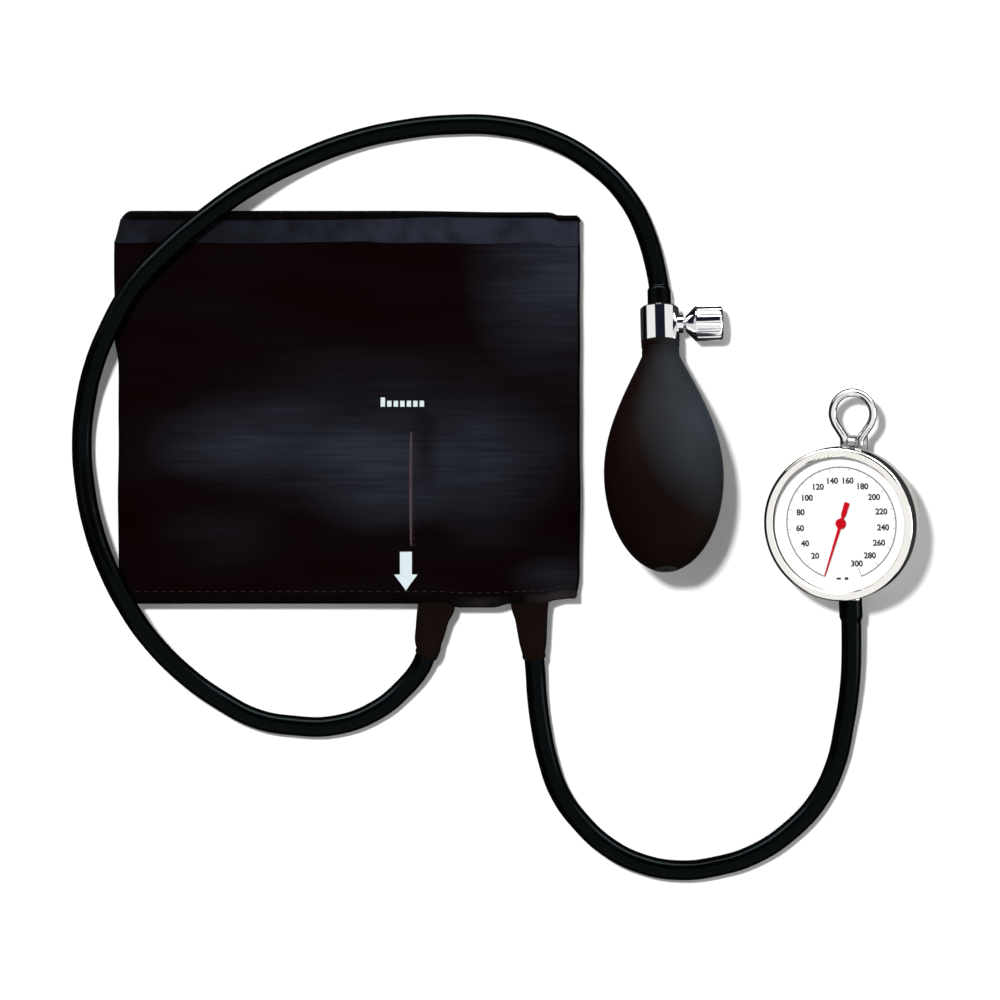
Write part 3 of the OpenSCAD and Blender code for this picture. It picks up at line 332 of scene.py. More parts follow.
def colours(material, value, first, second):
    """Colours the surface from one colour to another by a pattern."""
    mix = node(material, "ShaderNodeMix", data_type="RGBA")
    mix.inputs["A"].default_value = (*first, 1)
    mix.inputs["B"].default_value = (*second, 1)
    join(material, value, mix.inputs["Factor"])
    join(material, mix.outputs["Result"], shader_of(material).inputs["Base Color"])


def gloss(material, value, low, high):
    """Gives the surface a roughness from low to high by a pattern."""
    join(material, spread(material, value, low, high), shader_of(material).inputs["Roughness"])


def relief(material, value, depth, before=None):
    """Raises a pattern by a depth in mm; before is the relief that it lies on."""
    bump = node(material, "ShaderNodeBump")
    bump.inputs["Distance"].default_value = depth * MM
    join(material, value, bump.inputs["Height"])
    if before is not None:
        join(material, before, bump.inputs["Normal"])
    join(material, bump.outputs["Normal"], shader_of(material).inputs["Normal"])
    return bump.outputs["Normal"]


# ---- Finishes ----

def coated_cloth(name, dark, light, shapes, weave=0.55):
    """Coated nylon: a fine weave, long soft creases, and a lighter colour in soft patches of fine lines
    along X; on the cover it is a painted sheen.
    """
    material = finish(name, dark, 0.5, Specular_IOR_Level=0.006)
    place = where(material)
    streaks = cloud(material, where(material, (0.25, 1, 1)), 14, 3)
    # Patches of the lighter colour: the ovals given by shapes, broken into streaks and fine lines; on the
    # cover a painted sheen.
    tone_and_sheen = added(material, spots(material, *shapes), spread(material, streaks, 0.55, 1.25), "MULTIPLY")
    lines = cloud(material, where(material, (0.04, 1, 1)), 1.3, 1)
    tone_and_sheen = added(material, tone_and_sheen, spread(material, lines, 0.76, 1.24), "MULTIPLY")
    colours(material, added(material, tone_and_sheen, spread(material, streaks, 0, 0.07)), dark, light)
    gloss(material, streaks, 0.72, 0.58)
    warp = ribs(material, place, "X", weave)
    weft = ribs(material, place, "Y", weave)
    creases = relief(material, cloud(material, where(material, (0.22, 1, 1)), 9, 3), 0.35)
    relief(material, added(material, warp, weft, "MULTIPLY"), 0.03, creases)
    return material


def woven_tape(name, dark, light, shapes, wear):
    """Edge tape with ribs across it, worn random tone, and paler patches of painted sheen where shapes say.
    """
    material = finish(name, dark, 0.6, Specular_IOR_Level=0.01)
    place = where(material)
    worn = cloud(material, place, 9, 4, 0.6)
    sheen_patches = added(material, spots(material, *shapes), spread(material, worn, 0.55, 1.25), "MULTIPLY")
    colours(material, added(material, sheen_patches, spread(material, worn, 0, wear)), dark, light)
    rows = added(material, ribs(material, place, "X", 0.6), ribs(material, place, "Y", 0.9), "ADD")
    relief(material, rows, 0.05, relief(material, worn, 0.4))
    return material


def pile(name, colour):
    """Hook or loop pile."""
    material = finish(name, colour, 0.9, Sheen_Weight=0.3)
    fuzz = cloud(material, where(material), 0.8, 4, 0.7)
    colours(material, fuzz, colour, tuple(2.2 * c for c in colour))
    relief(material, fuzz, 0.4)
    return material


def rubber(name, dark, light, low, high, specular=0.35, shapes=None, tint=(1, 1, 1)):
    """Moulded rubber: a fine grain and random tone that also changes its gloss; where shapes are given, the
    lighter colour is a painted sheen in those patches.
    """
    material = finish(name, dark, high, Specular_IOR_Level=specular, Specular_Tint=(*tint, 1))
    place = where(material)
    tone_and_sheen = cloud(material, place, 18, 3)
    if shapes:
        # Painted sheen in the given patches.
        sheen_patches = added(material, spots(material, *shapes), spread(material, tone_and_sheen, 0.8, 1.2), "MULTIPLY")
        colours(material, sheen_patches, dark, light)
    else:
        colours(material, tone_and_sheen, dark, light)
    gloss(material, tone_and_sheen, low, high)
    waves = relief(material, cloud(material, place, 7), 0.12)
    relief(material, cloud(material, place, 0.5, 3, 0.6), 0.03, waves)
    return material


def polished(name, colour, low, high):
    """Bright metal with faint polishing lines and finger marks."""
    material = finish(name, colour, low, Metallic=1.0)
    place = where(material)
    gloss(material, cloud(material, place, 6, 4, 0.6), low, high)
    relief(material, cloud(material, where(material, (1, 8, 1)), 1.2, 3), 0.004)
    return material


def brushed(name, colour, low, high):
    """Turned or pressed metal, with fine marks and slight tarnish."""
    material = finish(name, colour, high, Metallic=1.0)
    tarnish = cloud(material, where(material), 4, 4)
    colours(material, tarnish, tuple(0.75 * c for c in colour), colour)
    gloss(material, tarnish, low, high)
    relief(material, cloud(material, where(material, (1, 1, 14)), 0.8, 2), 0.01)
    return material


def moulded(name, dark, light, roughness, specular=0.4):
    """Moulded plastic, fibre or ink with a fine texture."""
    material = finish(name, dark, roughness, Specular_IOR_Level=specular)
    place = where(material)
    colours(material, cloud(material, place, 3, 3), dark, light)
    relief(material, cloud(material, place, 0.3), 0.01)
    return material


def enamel(name, dark, light, roughness, coat=0.3, specular=0.5):
    """Sprayed paint with a slight orange-peel."""
    material = finish(name, light, roughness, Coat_Weight=coat, Coat_Roughness=0.1,
                      Specular_IOR_Level=specular)
    place = where(material)
    colours(material, cloud(material, place, 5, 2), dark, light)
    relief(material, cloud(material, place, 0.7), 0.004)
    return material


def clear_glass(name):
    """A thin clear pane: light goes straight through, and a slanting view mirrors some of it."""
    material = bpy.data.materials.new(name)
    material.use_nodes = True
    material.node_tree.nodes.remove(shader_of(material))
    through = node(material, "ShaderNodeBsdfTransparent")
    through.inputs["Color"].default_value = (0.99, 0.995, 0.995, 1)
    mirror = node(material, "ShaderNodeBsdfGlossy")
    mirror.inputs["Color"].default_value = (1, 1, 1, 1)
    marks = cloud(material, where(material), 12, 3)
    join(material, spread(material, marks, 0.01, 0.05), mirror.inputs["Roughness"])
    slant = node(material, "ShaderNodeLayerWeight")
    slant.inputs["Blend"].default_value = 0.5
    mix = node(material, "ShaderNodeMixShader")
    join(material, spread(material, slant.outputs["Facing"], 0.003, 0.15, 0.5, 1), mix.inputs["Fac"])
    join(material, through.outputs["BSDF"], mix.inputs[1])
    join(material, mirror.outputs["BSDF"], mix.inputs[2])
    join(material, mix.outputs["Shader"], material.node_tree.nodes["Material Output"].inputs["Surface"])
    return material


# Soft ovals seen from above: the middle of each, its half width and half height in mm, and its strength. On
# the cover, the tapes and the bulb they lay on painted sheen; the cover's one negative oval cuts that sheen
# back beside its crease, a painted shade. On the lining the one oval makes it paler towards its middle.
CLOTH_SHEEN = [
    ((12, -24), (34, 24), 0.80), ((-32, -13), (44, 20), 0.65), ((10, -10), (95, 34), 0.40),
    ((52, -20), (30, 36), 0.42), ((84, 50), (43, 50), 0.92), ((28.7, -17), (7, 17), -0.50),
    ((-47, -47), (30, 12), 0.22), ((77, -63), (19, 9), 0.58)
]
# The lining is paler towards its middle.
LINING_PALER_MIDDLE = [((0, 0), (60, 50), 0.5)]
HEM_SHEEN = [((40, 66), (95, 30), 0.95), ((84, 63), (22, 14), 0.70), ((-79, 60), (7, 8), 0.45)]
EDGE_SHEEN = [((80, -72), (16, 8), 1.0), ((50, -72), (12, 4), 0.35)]

# The cover's lighter colour is the colour of its painted sheen.
CUFF_CLOTH = coated_cloth("cuff_cloth", (0.0022, 0.0003, 0.0003), (0.0172, 0.0200, 0.0280), CLOTH_SHEEN)
LINING_CLOTH = coated_cloth("lining_cloth", (0.004, 0.003, 0.004), (0.012, 0.012, 0.014), LINING_PALER_MIDDLE, 0.7)
# The hem tape's paler colour is a painted sheen, where the ovals above lie.
HEM_TAPE = woven_tape("hem_tape", (0.0035, 0.0035, 0.0042), (0.0180, 0.0205, 0.0310), HEM_SHEEN, 0.25)
# The edge tape's paler colour is a painted sheen at the cuff's lower right corner.
EDGE_TAPE = woven_tape("edge_tape", (0.0010, 0.0007, 0.0007), (0.0260, 0.0210, 0.0210), EDGE_SHEEN, 0.03)
PILE = pile("hook_and_loop", (0.008, 0.008, 0.010))
THREAD = moulded("seam_thread", (0.006, 0.004, 0.004), (0.022, 0.015, 0.014), 0.7, 0.05)
FADED_INK = moulded("faded_ink", (0.040, 0.028, 0.034), (0.062, 0.046, 0.052), 0.7, 0.05)
WHITE_INK = moulded("white_ink", (0.50, 0.57, 0.60), (0.62, 0.69, 0.72), 0.6)
BLADDER_RUBBER = rubber("bladder_rubber", (0.05, 0.02, 0.015), (0.08, 0.035, 0.025), 0.5, 0.7)
NECK_RUBBER = rubber("neck_rubber", (0.0036, 0.0017, 0.0009), (0.0070, 0.0040, 0.0030), 0.5, 0.65, 0.015)
HOSE_RUBBER = rubber("hose_rubber", (0.0006, 0.0006, 0.0006), (0.0011, 0.0012, 0.0013), 0.10, 0.16, 0.05,
                     tint=(0.62, 0.90, 1.0))
# Painted sheen over the bulb's upper right; the bulb's lighter colour is the sheen's colour.
BULB_SHEEN = [((138, -2), (33, 40), 1.22), ((123, 18), (12, 12), 0.25)]
BULB_RUBBER = rubber("bulb_rubber", (0.0042, 0.0016, 0.0013), (0.030, 0.038, 0.046), 0.48, 0.62, 0.03,
                     shapes=BULB_SHEEN)
SEAL_RUBBER = rubber("seal_rubber", (0.010, 0.010, 0.010), (0.018, 0.018, 0.018), 0.5, 0.7)
BLACK_PLASTIC = moulded("black_plastic", (0.012, 0.012, 0.013), (0.02, 0.02, 0.021), 0.45)
NYLON = moulded("nylon", (0.70, 0.68, 0.62), (0.80, 0.79, 0.74), 0.4)
FIBRE = moulded("fibre", (0.22, 0.07, 0.04), (0.33, 0.11, 0.06), 0.7)
CHROME = polished("chrome", (0.86, 0.86, 0.87), 0.03, 0.09)
WARM_CHROME = polished("warm_chrome", (0.93, 0.91, 0.86), 0.04, 0.10)
CASE_CREAM = enamel("case_cream", (0.68, 0.66, 0.61), (0.76, 0.74, 0.70), 0.35)
STEEL = brushed("steel", (0.62, 0.62, 0.63), 0.22, 0.36)
BRASS = brushed("brass", (0.72, 0.52, 0.24), 0.25, 0.40)
DIAL_WHITE = enamel("dial_white", (0.86, 0.86, 0.87), (0.93, 0.93, 0.93), 0.45)
SCALE_INK = moulded("scale_ink", (0.17, 0.17, 0.18), (0.25, 0.25, 0.26), 0.6, 0.1)
FIGURE_INK = moulded("figure_ink", (0.012, 0.012, 0.014), (0.035, 0.035, 0.040), 0.6, 0.1)
POINTER_RED = enamel("pointer_red", (0.47, 0.0006, 0.0060), (0.53, 0.0012, 0.0090), 0.5, 0.0, 0.02)
CRYSTAL = clear_glass("crystal")


# ---- Hoses ----

HOSE_D = 7.4
HOSE_COLLAR_D = 8.6            # where a barb stretches it
COLLAR_STEP = 1.5               # over which it widens
BULB_HOSE_ROUTE = [
    (29, -91.5, 7), (27, -96, 5.6), (21.5, -103, 4.2), (10.5, -112, 3.9), (-5, -117.5, 3.9),
    (-20, -117.5, 3.9), (-33.5, -115, 3.9), (-47, -108, 4.4), (-60, -98.5, 7),
    (-73, -85, 11.8), (-80.5, -74, 14.6), (-88, -59.5, 14.6), (-93.5, -44.5, 11.6),
    (-97, -27.5, 7.4), (-98, -12, 6), (-96.5, 2, 8), (-93.5, 14.5, 11.8),
    (-88.5, 27, 14.6), (-79, 44, 14.6), (-66, 58, 14.6), (-50.5, 71, 15),
    (-34, 82.5, 11.9), (-16.5, 91.5, 7), (2, 98.5, 4.4), (19.5, 102.5, 3.9),
    (38, 104.5, 3.9), (56.5, 104, 3.9), (74.5, 99.5, 3.9), (90.5, 90.5, 3.9),
    (103, 78, 3.9), (110.5, 63.5, 3.9)
]
GAUGE_HOSE_ROUTE = [
    (69, -92.5, 7), (69.5, -98, 5.4), (70, -106, 4.2), (71.5, -118, 3.9), (74, -130, 3.9),
    (78.5, -142.5, 3.9), (86, -153, 3.9), (96.5, -162.5, 3.9), (108.5, -168.5, 3.9),
    (122.5, -171, 3.9), (136.5, -169.5, 3.9), (150.5, -165, 3.9), (164, -156, 3.9),
    (174, -145, 3.9), (180.5, -131.5, 4), (183.5, -117.5, 5.2), (185.5, -103, 7.2),
    (186, -93, 8.6)
]
VALVE_FACE = (115.2326, 36.7651, 6.9160)
BULB_COLLAR = (115.1010, 43.0510, 5.2665)
INLET_FACE = (185.5722, -70.7583, 10.9036)
GAUGE_COLLAR = (185.8360, -77.2245, 10.2966)


def add_hose(name, route, collar, face, stands_for):
    """A hose from the end of its neck to the barb that stretches its other end."""
    towards = (Vector(collar) - Vector(face)).normalized()
    before = tuple(Vector(collar) + COLLAR_STEP * towards)
    full = [*route, before, collar, face]
    wide = HOSE_COLLAR_D / HOSE_D
    stretch = [1] * (len(full) - 2) + [wide, wide]
    hose = wire(name, full, HOSE_D, stretch=stretch)
    belongs(hose, "root", "hose_rubber", HOSE_RUBBER, stands_for)


add_camera()
add_hose("hose_to_bulb", BULB_HOSE_ROUTE, BULB_COLLAR, VALVE_FACE, "bulb_hose")
add_hose("hose_to_gauge", GAUGE_HOSE_ROUTE, GAUGE_COLLAR, INLET_FACE, "gauge_hose")


# ---- Cuff ----

CUFF_W = 172
CUFF_H = 145
LAYER_PITCH = 3.9
FOLD_R = LAYER_PITCH / 2
SHEET_OUT = 1.45                # from the middle of a layer to the face of its cloth
CLOTH_THICK = 0.45
TAPE_THICK = 0.4
TAPE_BEND = 1.3                 # how far the tape's bend reaches in from the edge
TAPE_LAP = 0.6                  # of the tape's legs over the cloth
FOLD_X = CUFF_W / 2 - FOLD_R - SHEET_OUT
LAYER_Z = [SHEET_OUT + i * LAYER_PITCH for i in range(3)]
HEM_Y = 61.5                    # where the hem tape meets the cloth
SEAM_Y = -69.5                  # where the bottom seam meets the cloth
FOLD_LEN = math.pi * FOLD_R
FIRST_LEN = 2 * FOLD_X + FOLD_R
MIDDLE_LEN = 2 * FOLD_X
TOP_LEN = FOLD_X + CUFF_W / 2 - 1
CLOTH_LEN = FIRST_LEN + MIDDLE_LEN + TOP_LEN + 2 * FOLD_LEN
TOP_START = CLOTH_LEN - TOP_LEN


def fold_place(s, off):
    """Where a distance s along the folded cloth lies, off the middle of its layer: x and z."""
    if s < FIRST_LEN:
        return -FOLD_X - FOLD_R + s, LAYER_Z[0] + off
    s -= FIRST_LEN
    if s < FOLD_LEN:
        a = s / FOLD_R - math.pi / 2
        return FOLD_X + (FOLD_R - off) * math.cos(a), LAYER_Z[0] + FOLD_R + (FOLD_R - off) * math.sin(a)
    s -= FOLD_LEN
    if s < MIDDLE_LEN:
        return FOLD_X - s, LAYER_Z[1] - off
    s -= MIDDLE_LEN
    if s < FOLD_LEN:
        a = -math.pi / 2 - s / FOLD_R
        return -FOLD_X + (FOLD_R + off) * math.cos(a), LAYER_Z[1] + FOLD_R + (FOLD_R + off) * math.sin(a)
    return -FOLD_X + s - FOLD_LEN, LAYER_Z[2] + off


def even_stops(lengths, steps):
    """Distances along the cloth with their own number of steps in each stretch, from 0 to 1."""
    stops = [0.0]
    for length, count in zip(lengths, steps):
        stops += [stops[-1] + length * (i + 1) / count for i in range(count)]
    return stops


CLOTH_STOPS = even_stops([FIRST_LEN, FOLD_LEN, MIDDLE_LEN, FOLD_LEN, TOP_LEN], [28, 12, 28, 12, 92])


def stop_at(stops, share):
    """The distance at a share of the way through a list of stops."""
    exact = share * (len(stops) - 1)
    i = min(len(stops) - 2, int(exact + 1e-6))
    return stops[i] + (stops[i + 1] - stops[i]) * (exact - i)


def cloth_dip(x, y):
    """How far the top cloth lies below its highest level: it is drawn down to its seams, and
    slack between them. Depths and reaches are in mm."""
    to_hem = max(0.0, HEM_Y - y)
    to_seam = max(0.0, y - SEAM_Y)
    to_fold = max(0.0, x + CUFF_W / 2)
    to_end = max(0.0, CUFF_W / 2 - x)
    drawn = (0.42 * math.exp(-to_hem / 7) + 0.40 * math.exp(-to_seam / 6)
             + 0.30 * math.exp(-to_fold / 9) + 0.35 * math.exp(-to_end / 8))
    pucker = 0.10 * math.exp(-min(to_hem, to_seam) / 5) * (1 + math.sin(x / 2.6 + 2 * ripple(x, y, 30, 4.1)))
    slack = 0.22 * (1 + ripple(x, 3.2 * y, 55, 7.7)) + 0.07 * (1 + ripple(x, 2.5 * y, 16, 1.3))
    crease = 0.30 * math.exp(-((x - 24.5) / 0.9) ** 2) * ease(y, -60, -50) * ease(-y, -4, 4)
    return min(1.15, drawn + pucker + slack + crease)


def edge_shift(x, y):
    """How far the folded pack's ends draw in, along x."""
    left = 1.9 * ease(y, 62, 68) + 2.8 * ease(y, 68.5, 73) + 1.5 * ease(-y, -27, -16)
    right = 0.9 * ease(-y, 62, 71)
    wave = 0.35 * ripple(y, 3.0, 22, 5.0)
    return (left + wave) * ease(-x, 40, 84) - (right + wave) * ease(x, 60, 86)


def edge_drop(x, y):
    """How far the pack's long edges leave a straight line, along y."""
    top = -(0.5 * ease(x, 20, 60) + 1.2 * ease(x, 75, 77.6)) * ease(y, 50, 66)
    corner = 1.9 * ease(x, 72, 80) * ease(-y, 60, 70)
    welt = -1.4 * ease(x, 36, 41) * ease(-x, -60, -54) * ease(-y, 66, 71)
    return top + corner + welt


def cuff_point(s, y, off, dip):
    """A point of the folded cuff, with the dip of its top cloth and the drift of its edges."""
    x, z = fold_place(s, off)
    top = ease(s, TOP_START - FOLD_LEN, TOP_START)
    lower = 0.10 * ripple(x, y, 20, 9.0 + off) * (1 - top)
    return x + edge_shift(x, y), y + edge_drop(x, y), z - dip * top + lower


def on_cloth(x, y, lift):
    """A place a little above the top cloth, which drifts with the cloth's edges."""
    return x + edge_shift(x, y), y + edge_drop(x, y), LAYER_Z[2] + SHEET_OUT - cloth_dip(x, y) + lift


def cuff_sheet(name, off, rows, inward, dips):
    """One folded sheet of the cuff, with its thickness on the side given by inward; dips tells
    whether its top layer is drawn down."""
    def place(u, v):
        s = stop_at(CLOTH_STOPS, u)
        y = SEAM_Y + (HEM_Y - SEAM_Y) * v
        x = fold_place(s, off)[0]
        return cuff_point(s, y, off, cloth_dip(x, y) if dips else 0.0)
    sheet = shaped_grid(name, len(CLOTH_STOPS) - 1, rows, place)
    finish_with(sheet, "SOLIDIFY", thickness=CLOTH_THICK * MM, offset=inward)
    tidy(sheet, 60)
    return sheet


def u_tape(name, y_leg, y_edge, reach, wave, rise=0.0):
    """Tape folded over an edge of the cuff, from a leg on one face round to the other; its leg
    wavers and gets shorter to the right by the rise."""
    side = 1 if y_edge > 0 else -1
    y_bend = y_edge - TAPE_BEND * side
    half = [(y_leg, reach), ((y_leg + y_edge) / 2, reach), (y_bend, reach)]
    bend = [(y_bend + TAPE_BEND * side * math.sin(a), reach * math.cos(a))
            for a in [math.pi * i / 8 for i in range(1, 8)]]
    profile = [*half, *bend, *[(y, -off) for y, off in reversed(half)]]

    def place(u, v):
        s = stop_at(CLOTH_STOPS, u)
        i = round(v * (len(profile) - 1))
        y, off = profile[i]
        x = fold_place(s, off)[0]
        if i in (0, len(profile) - 1):
            y += wave * ripple(x, 2.0, 17, 3.3) + rise * ease(x, -10, 45)
        sag = 0.0
        if off > 0:
            sag = 0.10 * (1 + ripple(x, y, 14, 6.0)) + (0.10 if i == 0 else 0.0)
        return cuff_point(s, y, off, sag)
    tape = shaped_grid(name, len(CLOTH_STOPS) - 1, len(profile) - 1, place)
    finish_with(tape, "SOLIDIFY", thickness=TAPE_THICK * MM, offset=-side)
    tidy(tape, 50)
    return tape


def add_cuff():
    """The cover and its lining, folded in three, with tape over both long edges."""
    cover = cuff_sheet("cuff_cloth", SHEET_OUT, 66, -1, True)
    belongs(cover, "root", "cover_cloth", CUFF_CLOTH, "cuff_cover")
    lining = cuff_sheet("cuff_lining_cloth", -SHEET_OUT, 33, 1, False)
    belongs(lining, "root", "lining_cloth", LINING_CLOTH, "cuff_lining")
    hem = u_tape("hem_tape", HEM_Y - TAPE_LAP, 70.6, SHEET_OUT - 0.05, 0.9)
    belongs(hem, "root", "binding_tape", HEM_TAPE, "top_binding")
    edge = u_tape("hem_edge", 68.4, CUFF_H / 2, SHEET_OUT + 0.02, 0.4, 2.3)
    belongs(edge, "root", "binding_tape", EDGE_TAPE)
    seam = u_tape("bottom_seam", SEAM_Y + TAPE_LAP, -CUFF_H / 2, SHEET_OUT - 0.25, 0.3)
    belongs(seam, "root", "cover_cloth", EDGE_TAPE, "bottom_binding")


BAG_BELOW = 68                  # how far the rubber bag reaches into the middle layer
BAG_ABOVE = 158                 # and into the top layer
BAG_INSET = 3.2                 # from the ends of the cloth


def add_bladder():
    """The rubber bag: it lies in the middle and top layers and is fullest in its middle."""
    start = TOP_START - FOLD_LEN - BAG_BELOW
    end = TOP_START + BAG_ABOVE
    stops = even_stops([BAG_BELOW, FOLD_LEN, BAG_ABOVE], [16, 10, 40])
    y0, y1 = SEAM_Y + BAG_INSET, HEM_Y - BAG_INSET

    def place(u, v):
        turn_share = 2 * v if v <= 0.5 else 2 - 2 * v
        face = 1 if v <= 0.5 else -1
        s = start + stop_at(stops, u)
        ends = min(1, 6 * min(s - start, end - s) / 25 + 0.02)
        sides = math.sqrt(max(0.0, 1 - (2 * turn_share - 1) ** 6))
        y = y0 + (y1 - y0) * turn_share
        x = fold_place(s, 0)[0]
        room = 0.85 - (0.75 * cloth_dip(x, y) if s > TOP_START and face > 0 else 0.15)
        off = face * max(0.12, room) * sides * ends
        x, z = fold_place(s, off)
        return x + edge_shift(x, y), y + edge_drop(x, y), z
    bag = shaped_grid("bladder_bag", len(stops) - 1, 64, place)
    tidy(bag, 70, 0.00002)
    belongs(bag, "root", "bladder_rubber", BLADDER_RUBBER, "bladder")


PILE_H = 116


def add_pile(name, x0, x1, layer, stands_for):
    """A patch of hook or loop pile between two layers."""
    def place(u, v):
        x = x0 + (x1 - x0) * u
        y = PILE_H * (v - 0.5)
        return x, y, LAYER_Z[layer] + SHEET_OUT + 0.12 + 0.04 * ripple(x, y, 8, 2.0)
    patch = shaped_grid(name, 40, 40, place)
    finish_with(patch, "SOLIDIFY", thickness=0.55 * MM, offset=1)
    tidy(patch, 50)
    belongs(patch, "root", "hook_loop", PILE, stands_for)


add_cuff()
add_bladder()
add_pile("hook_patch", -78, -28, 0, "hook_panel")
add_pile("loop_patch", -55, 55, 1, "loop_panel")


# ---- Marks and stitches on the cuff ----

PRINT_ON_CLOTH = 0.04           # how far a print lies above the cloth
STITCH_ON_CLOTH = 0.05


def cloth_mark(name, profile, x, columns):
    """A flat print that follows the top cloth; profile gives heights along Y and half widths."""
    def place(u, v):
        y, half = profile[round(v * (len(profile) - 1))]
        px = x + half * (2 * u - 1)
        return on_cloth(px, y, PRINT_ON_CLOTH)
    mark = shaped_grid(name, columns, len(profile) - 1, place)
    finish_with(mark, "SOLIDIFY", thickness=0.03 * MM, offset=1)
    tidy(mark, 50, 0.000001)
    return mark


def stitch_line(name, points, length, width):
    """Short stitches lying on the cloth, each one a copy of the first; points give x and y
    with the stitch's direction in degrees."""
    deselect()
    bpy.ops.mesh.primitive_uv_sphere_add(segments=8, ring_count=6, radius=0.5 * MM)
    first = named(name)
    first.scale = (length, width, width * 0.6)
    bpy.ops.object.transform_apply(location=False, rotation=False, scale=True)
    places = [Matrix.Translation(Vector(on_cloth(x, y, STITCH_ON_CLOTH)) * MM) @ turn(direction, "Z")
              for x, y, direction in points]
    copies = []
    for place in places[1:]:
        copy = first.copy()
        copy.data = first.data.copy()
        bpy.context.scene.collection.objects.link(copy)
        copy.data.transform(place)
        copies.append(copy)
    deselect()
    for copy in copies:
        copy.select_set(True)
    first.select_set(True)
    bpy.context.view_layer.objects.active = first
    first.data.transform(places[0])
    bpy.ops.object.join()
    tidy(first, 60, 0.0000001)
    belongs(first, "root", "cover_cloth", THREAD)


ARROW_X = 21.7
ARROW_TIP = -67.5
HEAD_LEN = 5.8
HEAD_HALF = 4.3
SHAFT_LEN = 8.35
SHAFT_HALF = 2.2
LINE_X = 23.6                   # the faded line above the arrow
LINE_BOTTOM = -51
LINE_LEN = 42


def add_marks():
    """The artery arrow, a row of plain bars, a faded line and the stitches."""
    head = [(ARROW_TIP + HEAD_LEN * i / 6, HEAD_HALF * max(0.02, i / 6)) for i in range(7)]
    shaft = [(ARROW_TIP + HEAD_LEN + 0.05 + SHAFT_LEN * i / 9, SHAFT_HALF) for i in range(10)]
    arrow = cloth_mark("artery_arrow_print", head + shaft, ARROW_X, 8)
    belongs(arrow, "root", "white_print", WHITE_INK, "artery_arrow")
    for i in range(7):
        tall = 1.7 if i == 0 else 1.1
        bar = cloth_mark(f"index_bar_{i + 1}", [(0.2, 0.8), (0.2 + tall, 0.8), (0.2 + 2 * tall, 0.8)],
                         13.2 + 2.4 * i, 3)
        belongs(bar, "root", "white_print", WHITE_INK)
    line = [(LINE_BOTTOM + LINE_LEN * i / 28, 0.68 * math.sin(math.pi * (i + 0.3) / 28.6) ** 0.3)
            for i in range(29)]
    artery_line = cloth_mark("artery_line", line, LINE_X, 2)
    belongs(artery_line, "root", "white_print", FADED_INK)
    artery_run = [(LINE_X + 1, LINE_BOTTOM + 2.6 * i, 90) for i in range(17)]
    stitch_line("artery_line_stitches", artery_run, 1.7, 0.42)
    seam_run = [(-82 + 3.35 * i, SEAM_Y + 1.5, 2 * math.sin(1.7 * i)) for i in range(50)]
    stitch_line("bottom_stitches", seam_run, 2.1, 0.45)


# ---- Necks ----

TUBE_SIDES = 40
RINGS_PER_SPAN = 6


def swept(name, stations):
    """A soft tube through stations of centre, half width and half height, in mm."""

    def smooth_value(values, t):
        i = min(len(values) - 2, int(t))
        p = [values[max(0, i - 1)], values[i], values[i + 1], values[min(len(values) - 1, i + 2)]]
        f = t - i
        return 0.5 * (2 * p[1] + (p[2] - p[0]) * f + (2 * p[0] - 5 * p[1] + 4 * p[2] - p[3]) * f * f
                      + (3 * p[1] - p[0] - 3 * p[2] + p[3]) * f ** 3)

    def middle(t):
        return Vector([smooth_value([s[0][k] for s in stations], t) for k in range(3)])

    def place(u, v):
        t = v * (len(stations) - 1)
        centre = middle(t)
        ahead = middle(min(len(stations) - 1, t + 0.05)) - middle(max(0, t - 0.05))
        side = ahead.cross(Vector((0, 0, 1))).normalized()
        up = side.cross(ahead).normalized()
        a = 2 * math.pi * u
        half_w = smooth_value([s[1] for s in stations], t)
        half_h = smooth_value([s[2] for s in stations], t)
        return centre + half_w * math.cos(a) * side + half_h * math.sin(a) * up
    tube = shaped_grid(name, TUBE_SIDES, (len(stations) - 1) * RINGS_PER_SPAN, place)
    tidy(tube, 50)
    edit(tube)
    bpy.ops.mesh.select_all(action="DESELECT")
    bpy.ops.mesh.select_non_manifold(extend=False)
    bpy.ops.mesh.fill_holes(sides=0)
    tidy(tube, 50)
    return tube


def add_neck(name, root_x, end, lead, stands_for, body_width):
    """A neck that widens into the seam and ends in a plain bead round its hose."""
    end, lead = Vector(end), Vector(lead)
    along = (lead - end).normalized()
    root = Vector((root_x, -CUFF_H / 2 + 1.6, LAYER_Z[2] - 0.1))
    stations = [
        (root, 6.9, 0.95),
        (root + Vector((0, -2.4, 0)), 6.9, 1.05),
        (root.lerp(end, 0.30), body_width, 2.0),
        (root.lerp(end, 0.52), body_width - 0.55, 3.0),
        (root.lerp(end, 0.72), body_width - 1.0, 3.9),
        (end - 2.6 * along, 4.40, 4.35),
        (end - 1.6 * along, 4.20, 4.20),
        (end - 1.2 * along, 4.32, 4.32),
        (end - 0.3 * along, 4.26, 4.26),
        (end, 4.05, 4.05),
        (end - 0.1 * along, 3.75, 3.75),
    ]
    neck = swept(name, stations)
    belongs(neck, "root", "neck_rubber", NECK_RUBBER, stands_for)


add_marks()
add_neck("bulb_neck", 32.9, BULB_HOSE_ROUTE[0], BULB_HOSE_ROUTE[1], "inflation_neck", 6.2)
add_neck("gauge_neck_tube", 67.4, GAUGE_HOSE_ROUTE[0], GAUGE_HOSE_ROUTE[1], "gauge_neck", 6.1)


# ---- Bulb ----

BULB_LEN = 87
BULB_R = 22
BELLY_AT = 50.5
NECK_R = 6.95
NECK_LEN = 5.4
BULB_WALL = 2.3


